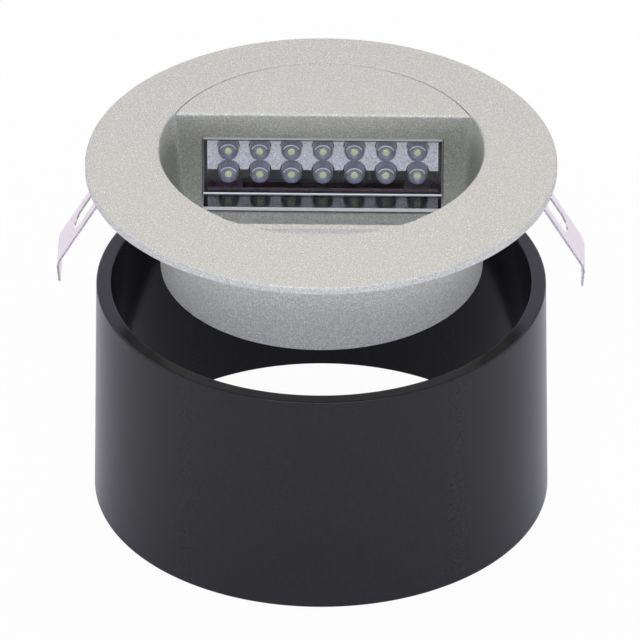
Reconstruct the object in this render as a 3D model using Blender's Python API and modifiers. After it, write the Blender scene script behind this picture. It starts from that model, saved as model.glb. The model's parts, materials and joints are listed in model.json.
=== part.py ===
"""Recessed outdoor light: die-cast face with fourteen LEDs, held in a mounting sleeve by two spring clips.

Metres, +Z up. The origin is the centre of the sleeve's lower end. +Y points to the hooded side.
The fitting is modelled lifted out above its sleeve, in its own frame, whose zero is the flange's face.
"""
import math

import bmesh
import bpy

# Clearances that every seat and cut shares
seat_gap = 0.0003
cut_overrun = 0.002
step_overlap = 0.0001
edge_overlap = 0.00002

# Smoothness of the round shapes, in segments a turn
large_segments = 80
medium_segments = 32
small_segments = 12
fillet_steps = 3
dome_steps = 4
sharp_angle = math.radians(32)

# Mounting sleeve, a tapered plastic tube
sleeve_height = 0.058
sleeve_rim_cover = 0.0023
sleeve_taper = 0.001
sleeve_wall = 0.0036
sleeve_edge_round = 0.0005

# Flange of the face casting, and how far it stands above the sleeve's rim when lifted out
flange_lift = 0.0338
flange_overhang = 0.0095
flange_thickness = 0.002
flange_edge_round = 0.0005

# Can of the face casting, set off from the flange's centre towards the hooded side
can_offset = 0.006
can_wall = 0.002
can_draft = 0.0021

# Pocket that the light shines out of
pocket_edge_margin = 0.0006
pocket_draft = 0.0015
pocket_edge_round = 0.0006
pocket_floor_round = 0.0008
pocket_corner_round = 0.002
pocket_floor_thickness = 0.002
far_wall_y = 0.0206
far_wall_thickness = 0.003
near_wall_y = -0.0266

# Ledge on top of the near wall, with a ramp up to the flange
lip_margin = 0.001
lip_depth = 0.00095
lip_ledge_width = 0.0025

# Hood that closes the lamp compartment from above
hood_ledge_width = 0.0019
hood_thickness = 0.0016
hood_edge_round = 0.0004
hood_skirt_wall = 0.0011
hood_skirt_height = 0.0025

# Lamp and driver compartment behind the wall and under the floor
cavity_clearance = 0.0003
cavity_draft = 0.0005
cover_ledge_width = 0.001

# Clear cover, an L of sheet with its foot on the pocket's floor
window_side_margin = 0.00354
window_top_depth = 0.0069
window_thickness = 0.0011
window_proud = 0.0003
window_foot_length = 0.0062
window_foot_thickness = 0.001
window_ledge = 0.001
window_gasket_thickness = 0.0006

# Lamps, standard 5 mm ones, in two rows
lamp_columns = 7
lamp_pitch = 0.00762
lamp_window_margin = 0.0052
lamp_floor_height = 0.005
lamp_row_pitch = 0.0065
lamp_radius = 0.0025
lamp_length = 0.0086
lamp_rim_radius = 0.0029
lamp_rim_height = 0.001
lamp_tip_clearance = 0.0004

# Lamp holder, a plate with round holes, set back behind a rim that seats on the wall, and with side cheeks
holder_rim_depth = 0.0019
holder_side_clearance = 0.0009
holder_top_depth = 0.0032
holder_thickness = 0.0015
holder_hole_clearance = 0.00035
holder_cheek_wall = 0.0008
holder_cheek_clearance = 0.00014
holder_screw_x = 0.020
holder_screw_drop = 0.0018

# Circuit boards
board_thickness = 0.0016
lamp_board_side = 0.00204
lamp_board_margin = 0.0033
driver_board_clearance = 0.0006
driver_board_near_y = 0.0
low_part_clearance = 0.0004
board_post_x = 0.016
board_post_y = 0.004
board_post_radius = 0.0025

# Parts on the driver board
film_capacitor_size = (0.012, 0.005, 0.011)
film_capacitor_x = -0.0075
smoothing_capacitor_radius = 0.004
smoothing_capacitor_height = 0.0115
smoothing_capacitor_x = 0.0075
tall_part_clearance = 0.0002
terminal_block_size = (0.010, 0.0065, 0.0048)
terminal_block_y = 0.0278
rectifier_size = (0.008, 0.0065, 0.0012)
rectifier_x = -0.006
low_part_y = 0.009
resistor_radius = 0.0006
resistor_length = 0.007
resistor_x = 0.008

# Back cover with its gasket and four screws
cover_thickness = 0.0013
cover_clearance = 0.0009
cover_set_back = 0.0003
cover_gasket_thickness = 0.0005
cover_gasket_width = 0.0016
cover_screw_count = 4
cover_screw_inset = 0.00475
cover_boss_radius = 0.0033
cover_boss_web = 0.003

# Screws
screw_radius = 0.0015
screw_head_radius = 0.00275
screw_head_height = 0.0014
screw_length = 0.0045
small_screw_radius = 0.001
small_screw_head_radius = 0.002
small_screw_head_height = 0.001
small_screw_grip = 0.0012

# Cable gland in the back cover
gland_y = -0.010
gland_thread_radius = 0.006
gland_bore_radius = 0.0036
gland_collar_across = 0.0075
gland_collar_height = 0.0035
gland_nut_height = 0.0025
gland_thread_reach = 0.0005
gland_neck_length = 0.0042
gland_cap_radius = 0.0082
gland_cap_height = 0.0068
gland_cap_end_radius = 0.0058
gland_cap_wall = 0.0018
gland_seal_wall = 0.0011
gland_cap_gap = 0.0004

# Flange gasket, which lands on the sleeve's rim
flange_gasket_width = 0.003
flange_gasket_inset = 0.0002
flange_gasket_thickness = 0.0008

# Spring clips of stainless strip
clip_width = 0.0124
clip_thickness = 0.0005
clip_pad_proud = 0.0008
clip_pad_width = 0.0132
clip_pad_depth = 0.0149
clip_pad_sink = 0.003
clip_root_margin = 0.0005
clip_bridge_depth = 0.0036
clip_hinge_clearance = 0.0006
clip_bend_gap = 0.00055
clip_leg_start = 0.00025
clip_bend_radius = 0.0009
clip_spread = 0.0132
clip_leg_drop = 0.0224
clip_tip_return = 0.0004
clip_tip_drop = 0.005
clip_slot_width = 0.0062
clip_slot_start = 0.005
clip_slot_margin = 0.008
rivet_radius = 0.0015
rivet_head_radius = 0.0028
rivet_head_height = 0.0012
rivet_depth = 0.0090
rivet_grip = 0.0016

# Places that follow from the sizes above
lamp_row_half = (lamp_columns - 1) / 2 * lamp_pitch
lamp_upper_depth = window_top_depth + lamp_window_margin
lamp_lower_depth = lamp_upper_depth + lamp_row_pitch
pocket_depth = lamp_lower_depth + lamp_floor_height
cavity_roof = pocket_depth + pocket_floor_thickness
compartment_y = far_wall_y + far_wall_thickness

window_half_width = lamp_row_half + lamp_radius + window_side_margin
window_front_y = far_wall_y - window_proud
window_back_y = window_front_y + window_thickness
window_floor = pocket_depth - seat_gap
window_gasket_y = window_back_y + seat_gap
rebate_y = window_gasket_y + window_gasket_thickness + seat_gap
opening_half_width = window_half_width - window_ledge
opening_top = window_top_depth + window_ledge
opening_bottom = window_floor - window_ledge

lamp_tip_y = window_back_y + lamp_tip_clearance
lamp_base_y = lamp_tip_y + lamp_length
lamp_hole_radius = lamp_radius + holder_hole_clearance
lamp_board_y = lamp_base_y + seat_gap
lamp_board_back = lamp_board_y + board_thickness
lamp_board_half_width = lamp_row_half + lamp_board_side
holder_y = compartment_y + seat_gap
holder_face_y = holder_y + holder_rim_depth
holder_back_y = holder_face_y + holder_thickness
holder_cheek_inner = lamp_row_half + lamp_rim_radius + holder_cheek_clearance
holder_cheek_outer = holder_cheek_inner + holder_cheek_wall
holder_screw_depth = holder_top_depth + holder_screw_drop

cavity_top_radius = math.hypot(holder_cheek_outer, lamp_base_y - can_offset) + cavity_clearance
cavity_bottom_radius = cavity_top_radius + cavity_draft
cavity_half_width = math.sqrt(cavity_top_radius ** 2 - (holder_back_y - can_offset) ** 2)
holder_half_width = cavity_half_width - holder_side_clearance
hood_radius = cavity_top_radius + hood_ledge_width
hood_opening_radius = hood_radius + seat_gap
pocket_radius = hood_radius + pocket_edge_margin
lip_radius = pocket_radius + lip_margin
can_top_radius = pocket_radius + can_wall
can_bottom_radius = can_top_radius - can_draft
flange_radius = can_top_radius + can_offset + flange_overhang
sleeve_top_radius = flange_radius - sleeve_rim_cover
sleeve_bottom_radius = sleeve_top_radius + sleeve_taper
flange_top = sleeve_height + flange_lift
flange_gasket_depth = flange_thickness + seat_gap
flange_gasket_outer = sleeve_top_radius - flange_gasket_inset
flange_gasket_inner = flange_gasket_outer - flange_gasket_width

driver_board_depth = cavity_roof + low_part_clearance + rectifier_size[2] + seat_gap
driver_board_under = driver_board_depth + board_thickness
part_seat_depth = driver_board_depth - seat_gap
board_post_end = driver_board_depth - seat_gap
tall_part_y = lamp_board_back + tall_part_clearance + smoothing_capacitor_radius

cover_top_depth = driver_board_under + seat_gap + small_screw_head_height + cover_clearance
cover_under_depth = cover_top_depth + cover_thickness
cover_gasket_depth = cover_top_depth - seat_gap - cover_gasket_thickness
cover_ledge_depth = cover_gasket_depth - seat_gap
can_depth = cover_under_depth + cover_set_back
cover_recess_radius = cavity_bottom_radius + cover_ledge_width
cover_radius = cover_recess_radius - seat_gap
cover_screw_circle = cavity_bottom_radius - cover_screw_inset
screw_hole_radius = screw_radius + seat_gap
small_hole_radius = small_screw_radius + seat_gap

clip_pad_face = can_top_radius + clip_pad_proud
clip_pad_root = can_top_radius - clip_pad_sink
clip_root_depth = clip_pad_depth - clip_root_margin
clip_hinge_x = sleeve_top_radius - sleeve_wall - clip_hinge_clearance
clip_fold_x = clip_hinge_x + clip_spread
clip_fold_depth = clip_bridge_depth + clip_leg_drop
clip_tip_x = clip_fold_x - clip_tip_return
clip_tip_depth = clip_fold_depth + clip_tip_drop
strip_x = clip_pad_face + seat_gap + clip_thickness / 2
rivet_hole_radius = rivet_radius + seat_gap
rivet_hole_x = strip_x - clip_thickness / 2 - rivet_grip


def clear_scene():
    """Take every object out of the file this runs in."""
    for item in list(bpy.data.objects):
        bpy.data.objects.remove(item, do_unlink=True)


def make_collection(name):
    """Add a collection to the scene."""
    collection = bpy.data.collections.new(name)
    bpy.context.scene.collection.children.link(collection)
    return collection


clear_scene()
pieces = make_collection("recessed_outdoor_light")
cutters = make_collection("cutters")


def make_material(name, colour, roughness, metallic, transmission=0.0):
    """A Principled material with the piece's colour."""
    material = bpy.data.materials.new(name)
    material.use_nodes = True
    shader = material.node_tree.nodes["Principled BSDF"]
    shader.inputs["Base Color"].default_value = (*colour, 1.0)
    shader.inputs["Roughness"].default_value = roughness
    shader.inputs["Metallic"].default_value = metallic
    shader.inputs["Transmission Weight"].default_value = transmission
    material.diffuse_color = (*colour, 1.0)
    return material


powder_coat = {"colour": (0.58, 0.57, 0.56), "roughness": 0.55, "metallic": 0.35}
black_plastic = {"colour": (0.02, 0.02, 0.02), "roughness": 0.4, "metallic": 0.0}
grey_plastic = {"colour": (0.45, 0.45, 0.46), "roughness": 0.5, "metallic": 0.0}
clear_plastic = {"colour": (0.95, 0.95, 0.96), "roughness": 0.05, "metallic": 0.0, "transmission": 0.9}
lamp_resin = {"colour": (0.80, 0.82, 0.86), "roughness": 0.05, "metallic": 0.0, "transmission": 0.8}
spring_steel = {"colour": (0.80, 0.78, 0.78), "roughness": 0.15, "metallic": 1.0}
plated_steel = {"colour": (0.60, 0.60, 0.60), "roughness": 0.3, "metallic": 1.0}
dark_rubber = {"colour": (0.03, 0.03, 0.03), "roughness": 0.8, "metallic": 0.0}
dark_laminate = {"colour": (0.06, 0.02, 0.02), "roughness": 0.4, "metallic": 0.0}
brown_laminate = {"colour": (0.05, 0.02, 0.015), "roughness": 0.4, "metallic": 0.0}
grey_film = {"colour": (0.07, 0.07, 0.08), "roughness": 0.4, "metallic": 0.0}


def add_frame(name, place):
    """An empty that pieces are parented to."""
    frame = bpy.data.objects.new(name, None)
    frame.location = place
    pieces.objects.link(frame)
    return frame


light_frame = add_frame("light_frame", (0, 0, flange_top))


def add_object(name, mesh, finish=None, frame=None):
    """Link a mesh as a piece with its own material, or as a cutter where it has no finish."""
    item = bpy.data.objects.new(name, mesh)
    item.parent = frame
    if finish is None:
        cutters.objects.link(item)
        item.hide_render = True
        item.display_type = "WIRE"
    else:
        pieces.objects.link(item)
        if not mesh.materials:
            mesh.materials.append(make_material(name, **finish))
    return item


def mesh_from(name, work):
    """Turn a bmesh into a mesh with its faces pointing outwards."""
    bmesh.ops.recalc_face_normals(work, faces=work.faces)
    mesh = bpy.data.meshes.new(name)
    work.to_mesh(mesh)
    work.free()
    return mesh


def box(name, low, high, finish=None, frame=light_frame):
    """A box between two corners."""
    work = bmesh.new()
    bmesh.ops.create_cube(work, size=1)
    for vertex in work.verts:
        for axis in range(3):
            middle = (low[axis] + high[axis]) / 2
            vertex.co[axis] = middle + vertex.co[axis] * (high[axis] - low[axis])
    return add_object(name, mesh_from(name, work), finish, frame)


def rod(name, radius, start, length, axis="Z", segments=small_segments, finish=None, frame=light_frame):
    """A cylinder that starts at a point and runs along an axis, backwards if its length is negative."""
    work = bmesh.new()
    bmesh.ops.create_cone(work, cap_ends=True, segments=segments, radius1=radius, radius2=radius,
                          depth=abs(length))
    item = add_object(name, mesh_from(name, work), finish, frame)
    place = list(start)
    place["XYZ".index(axis)] += length / 2
    item.location = place
    item.rotation_euler = {"X": (0, math.pi / 2, 0), "Y": (math.pi / 2, 0, 0), "Z": (0, 0, 0)}[axis]
    return item


def turned(name, profile, place=(0, 0, 0), segments=large_segments, closed=False, finish=None,
           frame=light_frame):
    """A turned shape: the profile's points are (radius, height), running down the outer side."""
    mesh = bpy.data.meshes.new(name)
    count = len(profile)
    edges = [(i, i + 1) for i in range(count - 1)]
    if closed:
        edges.append((count - 1, 0))
    mesh.from_pydata([(radius, 0, height) for radius, height in profile], edges, [])
    item = add_object(name, mesh, finish, frame)
    item.location = place
    screw = item.modifiers.new("turn", "SCREW")
    screw.axis = "Z"
    screw.steps = segments
    screw.render_steps = segments
    screw.use_merge_vertices = True
    screw.merge_threshold = 0.00001
    screw.use_smooth_shade = False
    return item


def arc(centre, radius, start, end, steps=fillet_steps):
    """Points on an arc, both ends included, with its angles in degrees."""
    points = []
    for step in range(steps + 1):
        angle = math.radians(start + (end - start) * step / steps)
        points.append((centre[0] + radius * math.cos(angle), centre[1] + radius * math.sin(angle)))
    return points


def combine(item, other, operation="DIFFERENCE"):
    """Cut, join or intersect with another object."""
    change = item.modifiers.new(other.name, "BOOLEAN")
    change.operation = operation
    change.solver = "EXACT"
    change.object = other


def at_can(depth):
    """The point on the can's axis at a depth under the flange's face."""
    return (0, can_offset, -depth)


def build_sleeve():
    """Tapered sleeve that is set into the wall or floor and takes the fitting."""
    edge = sleeve_edge_round
    inner_top = sleeve_top_radius - sleeve_wall
    profile = arc((sleeve_top_radius - edge, sleeve_height - edge), edge, 90, 0)
    profile += [(sleeve_bottom_radius, 0), (sleeve_bottom_radius - sleeve_wall, 0)]
    profile += arc((inner_top + edge, sleeve_height - edge), edge, 180, 90)
    turned("mounting_sleeve", profile, closed=True, finish=black_plastic, frame=None)


def pocket_outline(inset):
    """The pocket's outline: two arcs of one circle between the near and the far wall."""
    radius = pocket_radius - inset
    near = near_wall_y + inset - can_offset
    corner_y = far_wall_y - pocket_corner_round - can_offset
    corner_x = math.sqrt((radius - pocket_corner_round) ** 2 - corner_y ** 2)
    start = math.degrees(math.asin(near / radius))
    tangent = math.degrees(math.atan2(corner_y, corner_x))
    half = arc((0, can_offset), radius, start, tangent, large_segments // 4)
    half += arc((corner_x, corner_y + can_offset), pocket_corner_round, tangent, 90)[1:]
    return half + [(-x, y) for x, y in reversed(half)]


def pocket_cutter():
    """The pocket's hollow: a flared edge, drafted walls and a rounded foot, lofted down the outlines."""
    rings = [(-pocket_edge_round, -cut_overrun)]
    for step in range(fillet_steps + 1):
        angle = math.radians(90 * step / fillet_steps)
        flare = pocket_edge_round * (1 - math.sin(angle))
        rings.append((-flare, pocket_edge_round * (1 - math.cos(angle)) - edge_overlap))
    for step in range(fillet_steps + 1):
        angle = math.radians(90 * step / fillet_steps)
        inset = pocket_draft + pocket_floor_round * (1 - math.cos(angle))
        rings.append((inset, pocket_depth - pocket_floor_round * (1 - math.sin(angle))))
    work = bmesh.new()
    loops = []
    for inset, depth in rings:
        loops.append([work.verts.new((x, y, -depth)) for x, y in pocket_outline(inset)])
    for upper, lower in zip(loops, loops[1:]):
        for i in range(len(upper)):
            j = (i + 1) % len(upper)
            work.faces.new((upper[i], upper[j], lower[j], lower[i]))
    work.faces.new(loops[0])
    work.faces.new(loops[-1])
    return add_object("pocket_hollow", mesh_from("pocket_hollow", work), frame=light_frame)


def lip_cutter():
    """What is taken away between the near wall and the pocket's edge, over a ledge and a ramp."""
    cutter = rod("lip_hollow", lip_radius, at_can(lip_depth), lip_depth + cut_overrun,
                 segments=large_segments)
    reach = lip_radius + cut_overrun
    near_side = box("near_side", (-reach, can_offset - reach, -lip_depth - cut_overrun),
                    (reach, near_wall_y + step_overlap, 2 * cut_overrun))
    foot = near_wall_y - lip_ledge_width
    end = can_offset - lip_radius
    slope = (lip_depth - edge_overlap) / (foot - end)
    low = -lip_depth - 2 * cut_overrun
    outline = [(foot + cut_overrun, low), (foot + cut_overrun, -lip_depth - slope * cut_overrun),
               (end - cut_overrun, slope * cut_overrun - edge_overlap), (end - cut_overrun, low)]
    combine(cutter, near_side, "INTERSECT")
    combine(cutter, extrude_along_x("lip_ramp", outline, reach))
    return cutter


def hood_cutter():
    """The opening that the hood closes."""
    depth = hood_thickness + seat_gap
    cutter = rod("hood_opening", hood_opening_radius, at_can(depth), depth + cut_overrun,
                 segments=large_segments)
    reach = hood_opening_radius + cut_overrun
    far_side = box("far_side", (-reach, far_wall_y - step_overlap, -depth - cut_overrun),
                   (reach, can_offset + reach, 2 * cut_overrun))
    combine(cutter, far_side, "INTERSECT")
    return cutter


def cavity_cutter():
    """The lamp and driver compartment, open to the back, with the ledge that the cover sits on."""
    end = can_depth + cut_overrun
    profile = [(0, -hood_thickness), (cavity_top_radius, -hood_thickness),
               (cavity_bottom_radius, -cover_ledge_depth), (cover_recess_radius, -cover_ledge_depth),
               (cover_recess_radius, -end), (0, -end)]
    cutter = turned("compartment", profile, (0, can_offset, 0))
    reach = can_top_radius + cut_overrun
    kept = box("pocket_shell", (-reach, can_offset - reach, -cavity_roof),
               (reach, compartment_y, cut_overrun))
    combine(cutter, kept)
    return cutter


def cover_screw_angles():
    """Angles of the cover's screws round the can's axis."""
    return [2 * math.pi * (number + 0.5) / cover_screw_count for number in range(cover_screw_count)]


def cover_screw_places():
    """Centres of the cover's screws, seen from above."""
    return [(cover_screw_circle * math.cos(angle), can_offset + cover_screw_circle * math.sin(angle))
            for angle in cover_screw_angles()]


def build_face():
    """Face casting: flange, can, pocket, compartment, bosses and clip pads in one die casting."""
    edge = flange_edge_round
    profile = [(0, 0)] + arc((flange_radius - edge, -edge), edge, 90, 0)
    profile += [(flange_radius, -flange_thickness), (0, -flange_thickness)]
    casting = turned("face_casting", profile, finish=powder_coat)
    can_profile = [(0, -flange_thickness / 2), (can_top_radius, -flange_thickness / 2),
                   (can_bottom_radius, -can_depth), (0, -can_depth)]
    combine(casting, turned("can_body", can_profile, (0, can_offset, 0)), "UNION")
    for side in (-1, 1):
        ends = sorted((side * clip_pad_root, side * clip_pad_face))
        pad = box("clip_pad", (ends[0], -clip_pad_width / 2, -clip_pad_depth),
                  (ends[1], clip_pad_width / 2, -flange_thickness / 2))
        combine(casting, pad, "UNION")
    combine(casting, pocket_cutter())
    combine(casting, lip_cutter())
    combine(casting, hood_cutter())
    combine(casting, cavity_cutter())
    rebate_half = window_half_width + seat_gap
    combine(casting, box("window_rebate",
                         (-rebate_half, far_wall_y - cut_overrun, -pocket_depth - step_overlap),
                         (rebate_half, rebate_y, -window_top_depth + seat_gap)))
    combine(casting, box("window_opening",
                         (-opening_half_width, rebate_y - step_overlap, -opening_bottom),
                         (opening_half_width, compartment_y + cut_overrun, -opening_top)))
    boss_end = cover_top_depth - seat_gap
    boss_top = pocket_depth + pocket_floor_thickness / 2
    for x, y in cover_screw_places():
        boss = rod("cover_boss", cover_boss_radius, (x, y, -boss_top), boss_top - boss_end)
        combine(casting, boss, "UNION")
    for angle in cover_screw_angles():
        web = box("boss_web", (cover_screw_circle, -cover_boss_web / 2, -cover_ledge_depth + seat_gap),
                  (cover_recess_radius, cover_boss_web / 2, -boss_top + seat_gap))
        web.location = (0, can_offset, 0)
        web.rotation_euler = (0, 0, angle)
        combine(casting, web, "UNION")
    for x, y in cover_screw_places():
        hole_length = screw_length + seat_gap - cover_thickness
        combine(casting, rod("boss_hole", screw_hole_radius, (x, y, -boss_end - cut_overrun),
                             hole_length + cut_overrun, segments=small_segments))
    for side in (-1, 1):
        place = (side * board_post_x, board_post_y, -boss_top)
        post = rod("board_post", board_post_radius, place, boss_top - board_post_end)
        combine(casting, post, "UNION")
        place = (side * board_post_x, board_post_y, -board_post_end - cut_overrun)
        hole = rod("post_hole", small_hole_radius, place, small_screw_grip + cut_overrun + seat_gap)
        combine(casting, hole)
        place = (side * holder_screw_x, compartment_y + cut_overrun, -holder_screw_depth)
        hole = rod("holder_hole", small_hole_radius, place, -cut_overrun - small_screw_grip - seat_gap, "Y")
        combine(casting, hole)
        place = (side * rivet_hole_x, 0, -rivet_depth)
        reach = clip_pad_face + cut_overrun - rivet_hole_x
        combine(casting, rod("rivet_hole", rivet_hole_radius, place, side * reach, "X"))


def build_hood():
    """Hood plate over the lamps, with a skirt that locates it in the casting."""
    edge = hood_edge_round
    skirt_outer = cavity_top_radius - seat_gap
    skirt_inner = skirt_outer - hood_skirt_wall
    skirt_end = hood_thickness + hood_skirt_height
    profile = [(0, 0)] + arc((hood_radius - edge, -edge), edge, 90, 0)
    profile += [(hood_radius, -hood_thickness), (skirt_outer, -hood_thickness), (skirt_outer, -skirt_end),
                (skirt_inner, -skirt_end), (skirt_inner, -hood_thickness), (0, -hood_thickness)]
    hood = turned("hood", profile, (0, can_offset, 0), finish=powder_coat)
    reach = hood_radius + cut_overrun
    behind = box("hood_front", (-reach, far_wall_y, -skirt_end - cut_overrun),
                 (reach, can_offset + reach, cut_overrun))
    combine(hood, behind, "INTERSECT")
    skirt_front = box("skirt_front", (-reach, can_offset, -skirt_end - cut_overrun),
                      (reach, holder_back_y + seat_gap, -hood_thickness))
    combine(hood, skirt_front)


def build_window():
    """Clear cover in front of the lamps, and its gasket."""
    outline = [(window_back_y, -window_top_depth), (window_back_y, -window_floor),
               (window_back_y - window_foot_length - window_thickness, -window_floor),
               (window_back_y - window_foot_length - window_thickness, -window_floor + window_foot_thickness),
               (window_front_y, -window_floor + window_foot_thickness), (window_front_y, -window_top_depth)]
    extrude_along_x("window_cover", outline, window_half_width, clear_plastic)
    outer = window_half_width - seat_gap
    gasket = box("window_gasket", (-outer, window_gasket_y, -window_floor),
                 (outer, window_gasket_y + window_gasket_thickness, -window_top_depth), finish=dark_rubber)
    combine(gasket, box("gasket_opening",
                        (-opening_half_width, window_gasket_y - cut_overrun, -opening_bottom),
                        (opening_half_width, window_gasket_y + cut_overrun, -opening_top)))


def extrude_along_x(name, outline, half_width, finish=None):
    """A flat outline of (y, z) points, extruded both ways along X."""
    work = bmesh.new()
    face = work.faces.new([work.verts.new((-half_width, y, z)) for y, z in outline])
    result = bmesh.ops.extrude_face_region(work, geom=[face])
    for vertex in result["geom"]:
        if isinstance(vertex, bmesh.types.BMVert):
            vertex.co.x = half_width
    return add_object(name, mesh_from(name, work), finish, light_frame)


def lamp_column_x(column):
    """Where a column of lamps stands."""
    return (column - (lamp_columns - 1) / 2) * lamp_pitch


def build_lamps():
    """Fourteen 5 mm lamps with domed tips, lying along Y with their tips to the window."""
    shoulder = lamp_length - lamp_radius
    profile = [(0, lamp_length)] + arc((0, shoulder), lamp_radius, 90, 0, dome_steps)[1:]
    profile += [(lamp_radius, lamp_rim_height), (lamp_rim_radius, lamp_rim_height)]
    profile += [(lamp_rim_radius, 0), (0, 0)]
    number = 0
    for depth in (lamp_upper_depth, lamp_lower_depth):
        for column in range(lamp_columns):
            number += 1
            lamp = turned(f"led_{number:02d}", profile, (lamp_column_x(column), lamp_base_y, -depth),
                          small_segments, finish=lamp_resin)
            lamp.rotation_euler = (math.pi / 2, 0, 0)


def build_lamp_holder():
    """Lamp holder with a round hole for each upper lamp and half a hole for each lower one."""
    holder = box("led_holder", (-holder_half_width, holder_y, -lamp_lower_depth),
                 (holder_half_width, holder_back_y, -holder_top_depth), finish=grey_plastic)
    recess = box("holder_recess", (-opening_half_width, holder_y - cut_overrun, -lamp_lower_depth - cut_overrun),
                 (opening_half_width, holder_face_y, -opening_top))
    combine(holder, recess)
    for side in (-1, 1):
        ends = sorted((side * holder_cheek_inner, side * holder_cheek_outer))
        cheek = box("holder_cheek", (ends[0], holder_back_y - step_overlap, -lamp_lower_depth),
                    (ends[1], lamp_base_y, -holder_top_depth - holder_thickness))
        combine(holder, cheek, "UNION")
    for column in range(lamp_columns):
        for depth in (lamp_upper_depth, lamp_lower_depth):
            place = (lamp_column_x(column), holder_face_y - cut_overrun, -depth)
            combine(holder, rod("lamp_hole", lamp_hole_radius, place,
                                holder_thickness + 2 * cut_overrun, "Y"))
    through = holder_back_y - holder_y + 2 * cut_overrun
    for side in (-1, 1):
        place = (side * holder_screw_x, holder_y - cut_overrun, -holder_screw_depth)
        combine(holder, rod("holder_screw_hole", small_hole_radius, place, through, "Y"))


def build_boards():
    """Lamp board behind the lamps, and the driver board over the back cover with its parts."""
    margin = lamp_board_margin
    box("led_board", (-lamp_board_half_width, lamp_board_y, -lamp_lower_depth - margin),
        (lamp_board_half_width, lamp_board_y + board_thickness, -lamp_upper_depth + margin),
        finish=dark_laminate)
    board = rod("driver_board", cavity_top_radius - driver_board_clearance, at_can(driver_board_under),
                board_thickness, segments=large_segments, finish=brown_laminate)
    reach = cavity_bottom_radius
    near_part = box("board_near_edge", (-reach, -2 * reach, -driver_board_under - cut_overrun),
                    (reach, driver_board_near_y, -driver_board_depth + cut_overrun))
    combine(board, near_part)
    through = board_thickness + 2 * cut_overrun
    notch_reach = math.hypot(cavity_top_radius - cover_screw_circle, cover_boss_web / 2)
    for x, y in cover_screw_places():
        place = (x, y, -driver_board_under - cut_overrun)
        combine(board, rod("boss_notch", notch_reach + driver_board_clearance, place, through))
    for side in (-1, 1):
        place = (side * board_post_x, board_post_y, -driver_board_under - cut_overrun)
        combine(board, rod("board_hole", small_hole_radius, place, through))


def block(name, size, x, y, finish):
    """A boxed electrical part that stands on the driver board."""
    return box(name, (x - size[0] / 2, y - size[1] / 2, -part_seat_depth),
               (x + size[0] / 2, y + size[1] / 2, -part_seat_depth + size[2]), finish=finish)


def build_driver_parts():
    """What the mains driver needs: capacitors, a rectifier, a resistor and the cable's terminals."""
    block("film_capacitor", film_capacitor_size, film_capacitor_x, tall_part_y, grey_film)
    block("terminal_block", terminal_block_size, 0, terminal_block_y, black_plastic)
    block("bridge_rectifier", rectifier_size, rectifier_x, low_part_y, black_plastic)
    rod("smoothing_capacitor", smoothing_capacitor_radius,
        (smoothing_capacitor_x, tall_part_y, -part_seat_depth), smoothing_capacitor_height,
        finish=black_plastic)
    rod("dropper_resistor", resistor_radius,
        (resistor_x - resistor_length / 2, low_part_y, -part_seat_depth + resistor_radius), resistor_length,
        "X", finish=grey_plastic)


def pan_screw(name, place, sizes, turn, finish=plated_steel):
    """A pan-head screw whose shank points along its own +Z and whose head's underside is at its origin."""
    radius, head_radius, head_height, length = sizes
    crown = head_height / 2
    profile = [(0, length), (radius, length), (radius, 0), (head_radius, 0), (head_radius, -crown),
               (head_radius - crown, -head_height), (0, -head_height)]
    screw = turned(name, profile, place, small_segments, finish=finish)
    screw.rotation_euler = turn
    return screw


def build_screws():
    """Cover screws, driver board screws and lamp holder screws."""
    sizes = (screw_radius, screw_head_radius, screw_head_height, screw_length)
    for number, (x, y) in enumerate(cover_screw_places(), 1):
        pan_screw(f"cover_screw_{number}", (x, y, -cover_under_depth - seat_gap), sizes, (0, 0, 0))
    small = (small_screw_radius, small_screw_head_radius, small_screw_head_height)
    for side, word in ((-1, "left"), (1, "right")):
        length = board_thickness + 2 * seat_gap + small_screw_grip
        place = (side * board_post_x, board_post_y, -driver_board_under - seat_gap)
        pan_screw(f"board_screw_{word}", place, (*small, length), (0, 0, 0))
        length = holder_back_y - holder_y + 2 * seat_gap + small_screw_grip
        place = (side * holder_screw_x, holder_back_y + seat_gap, -holder_screw_depth)
        pan_screw(f"holder_screw_{word}", place, (*small, length), (math.pi / 2, 0, 0))


def build_cover():
    """Back cover and the gasket between it and the can."""
    cover = rod("back_cover", cover_radius, at_can(cover_under_depth), cover_thickness,
                segments=large_segments, finish=powder_coat)
    through = cover_thickness + 2 * cut_overrun
    for x, y in cover_screw_places():
        place = (x, y, -cover_under_depth - cut_overrun)
        combine(cover, rod("cover_hole", screw_hole_radius, place, through))
    place = (0, gland_y, -cover_under_depth - cut_overrun)
    combine(cover, rod("gland_hole", gland_thread_radius + seat_gap, place, through,
                       segments=medium_segments))
    outer = cover_radius
    inner = outer - cover_gasket_width
    low = -cover_gasket_depth - cover_gasket_thickness
    profile = [(outer, -cover_gasket_depth), (outer, low), (inner, low), (inner, -cover_gasket_depth)]
    turned("cover_gasket", profile, (0, can_offset, 0), closed=True, finish=dark_rubber)


def hexagon(name, across, bottom, height, finish=None):
    """A hexagon across its flats, round the gland's axis."""
    corner = across / math.cos(math.pi / 6)
    return rod(name, corner, (0, gland_y, bottom), height, segments=6, finish=finish)


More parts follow.
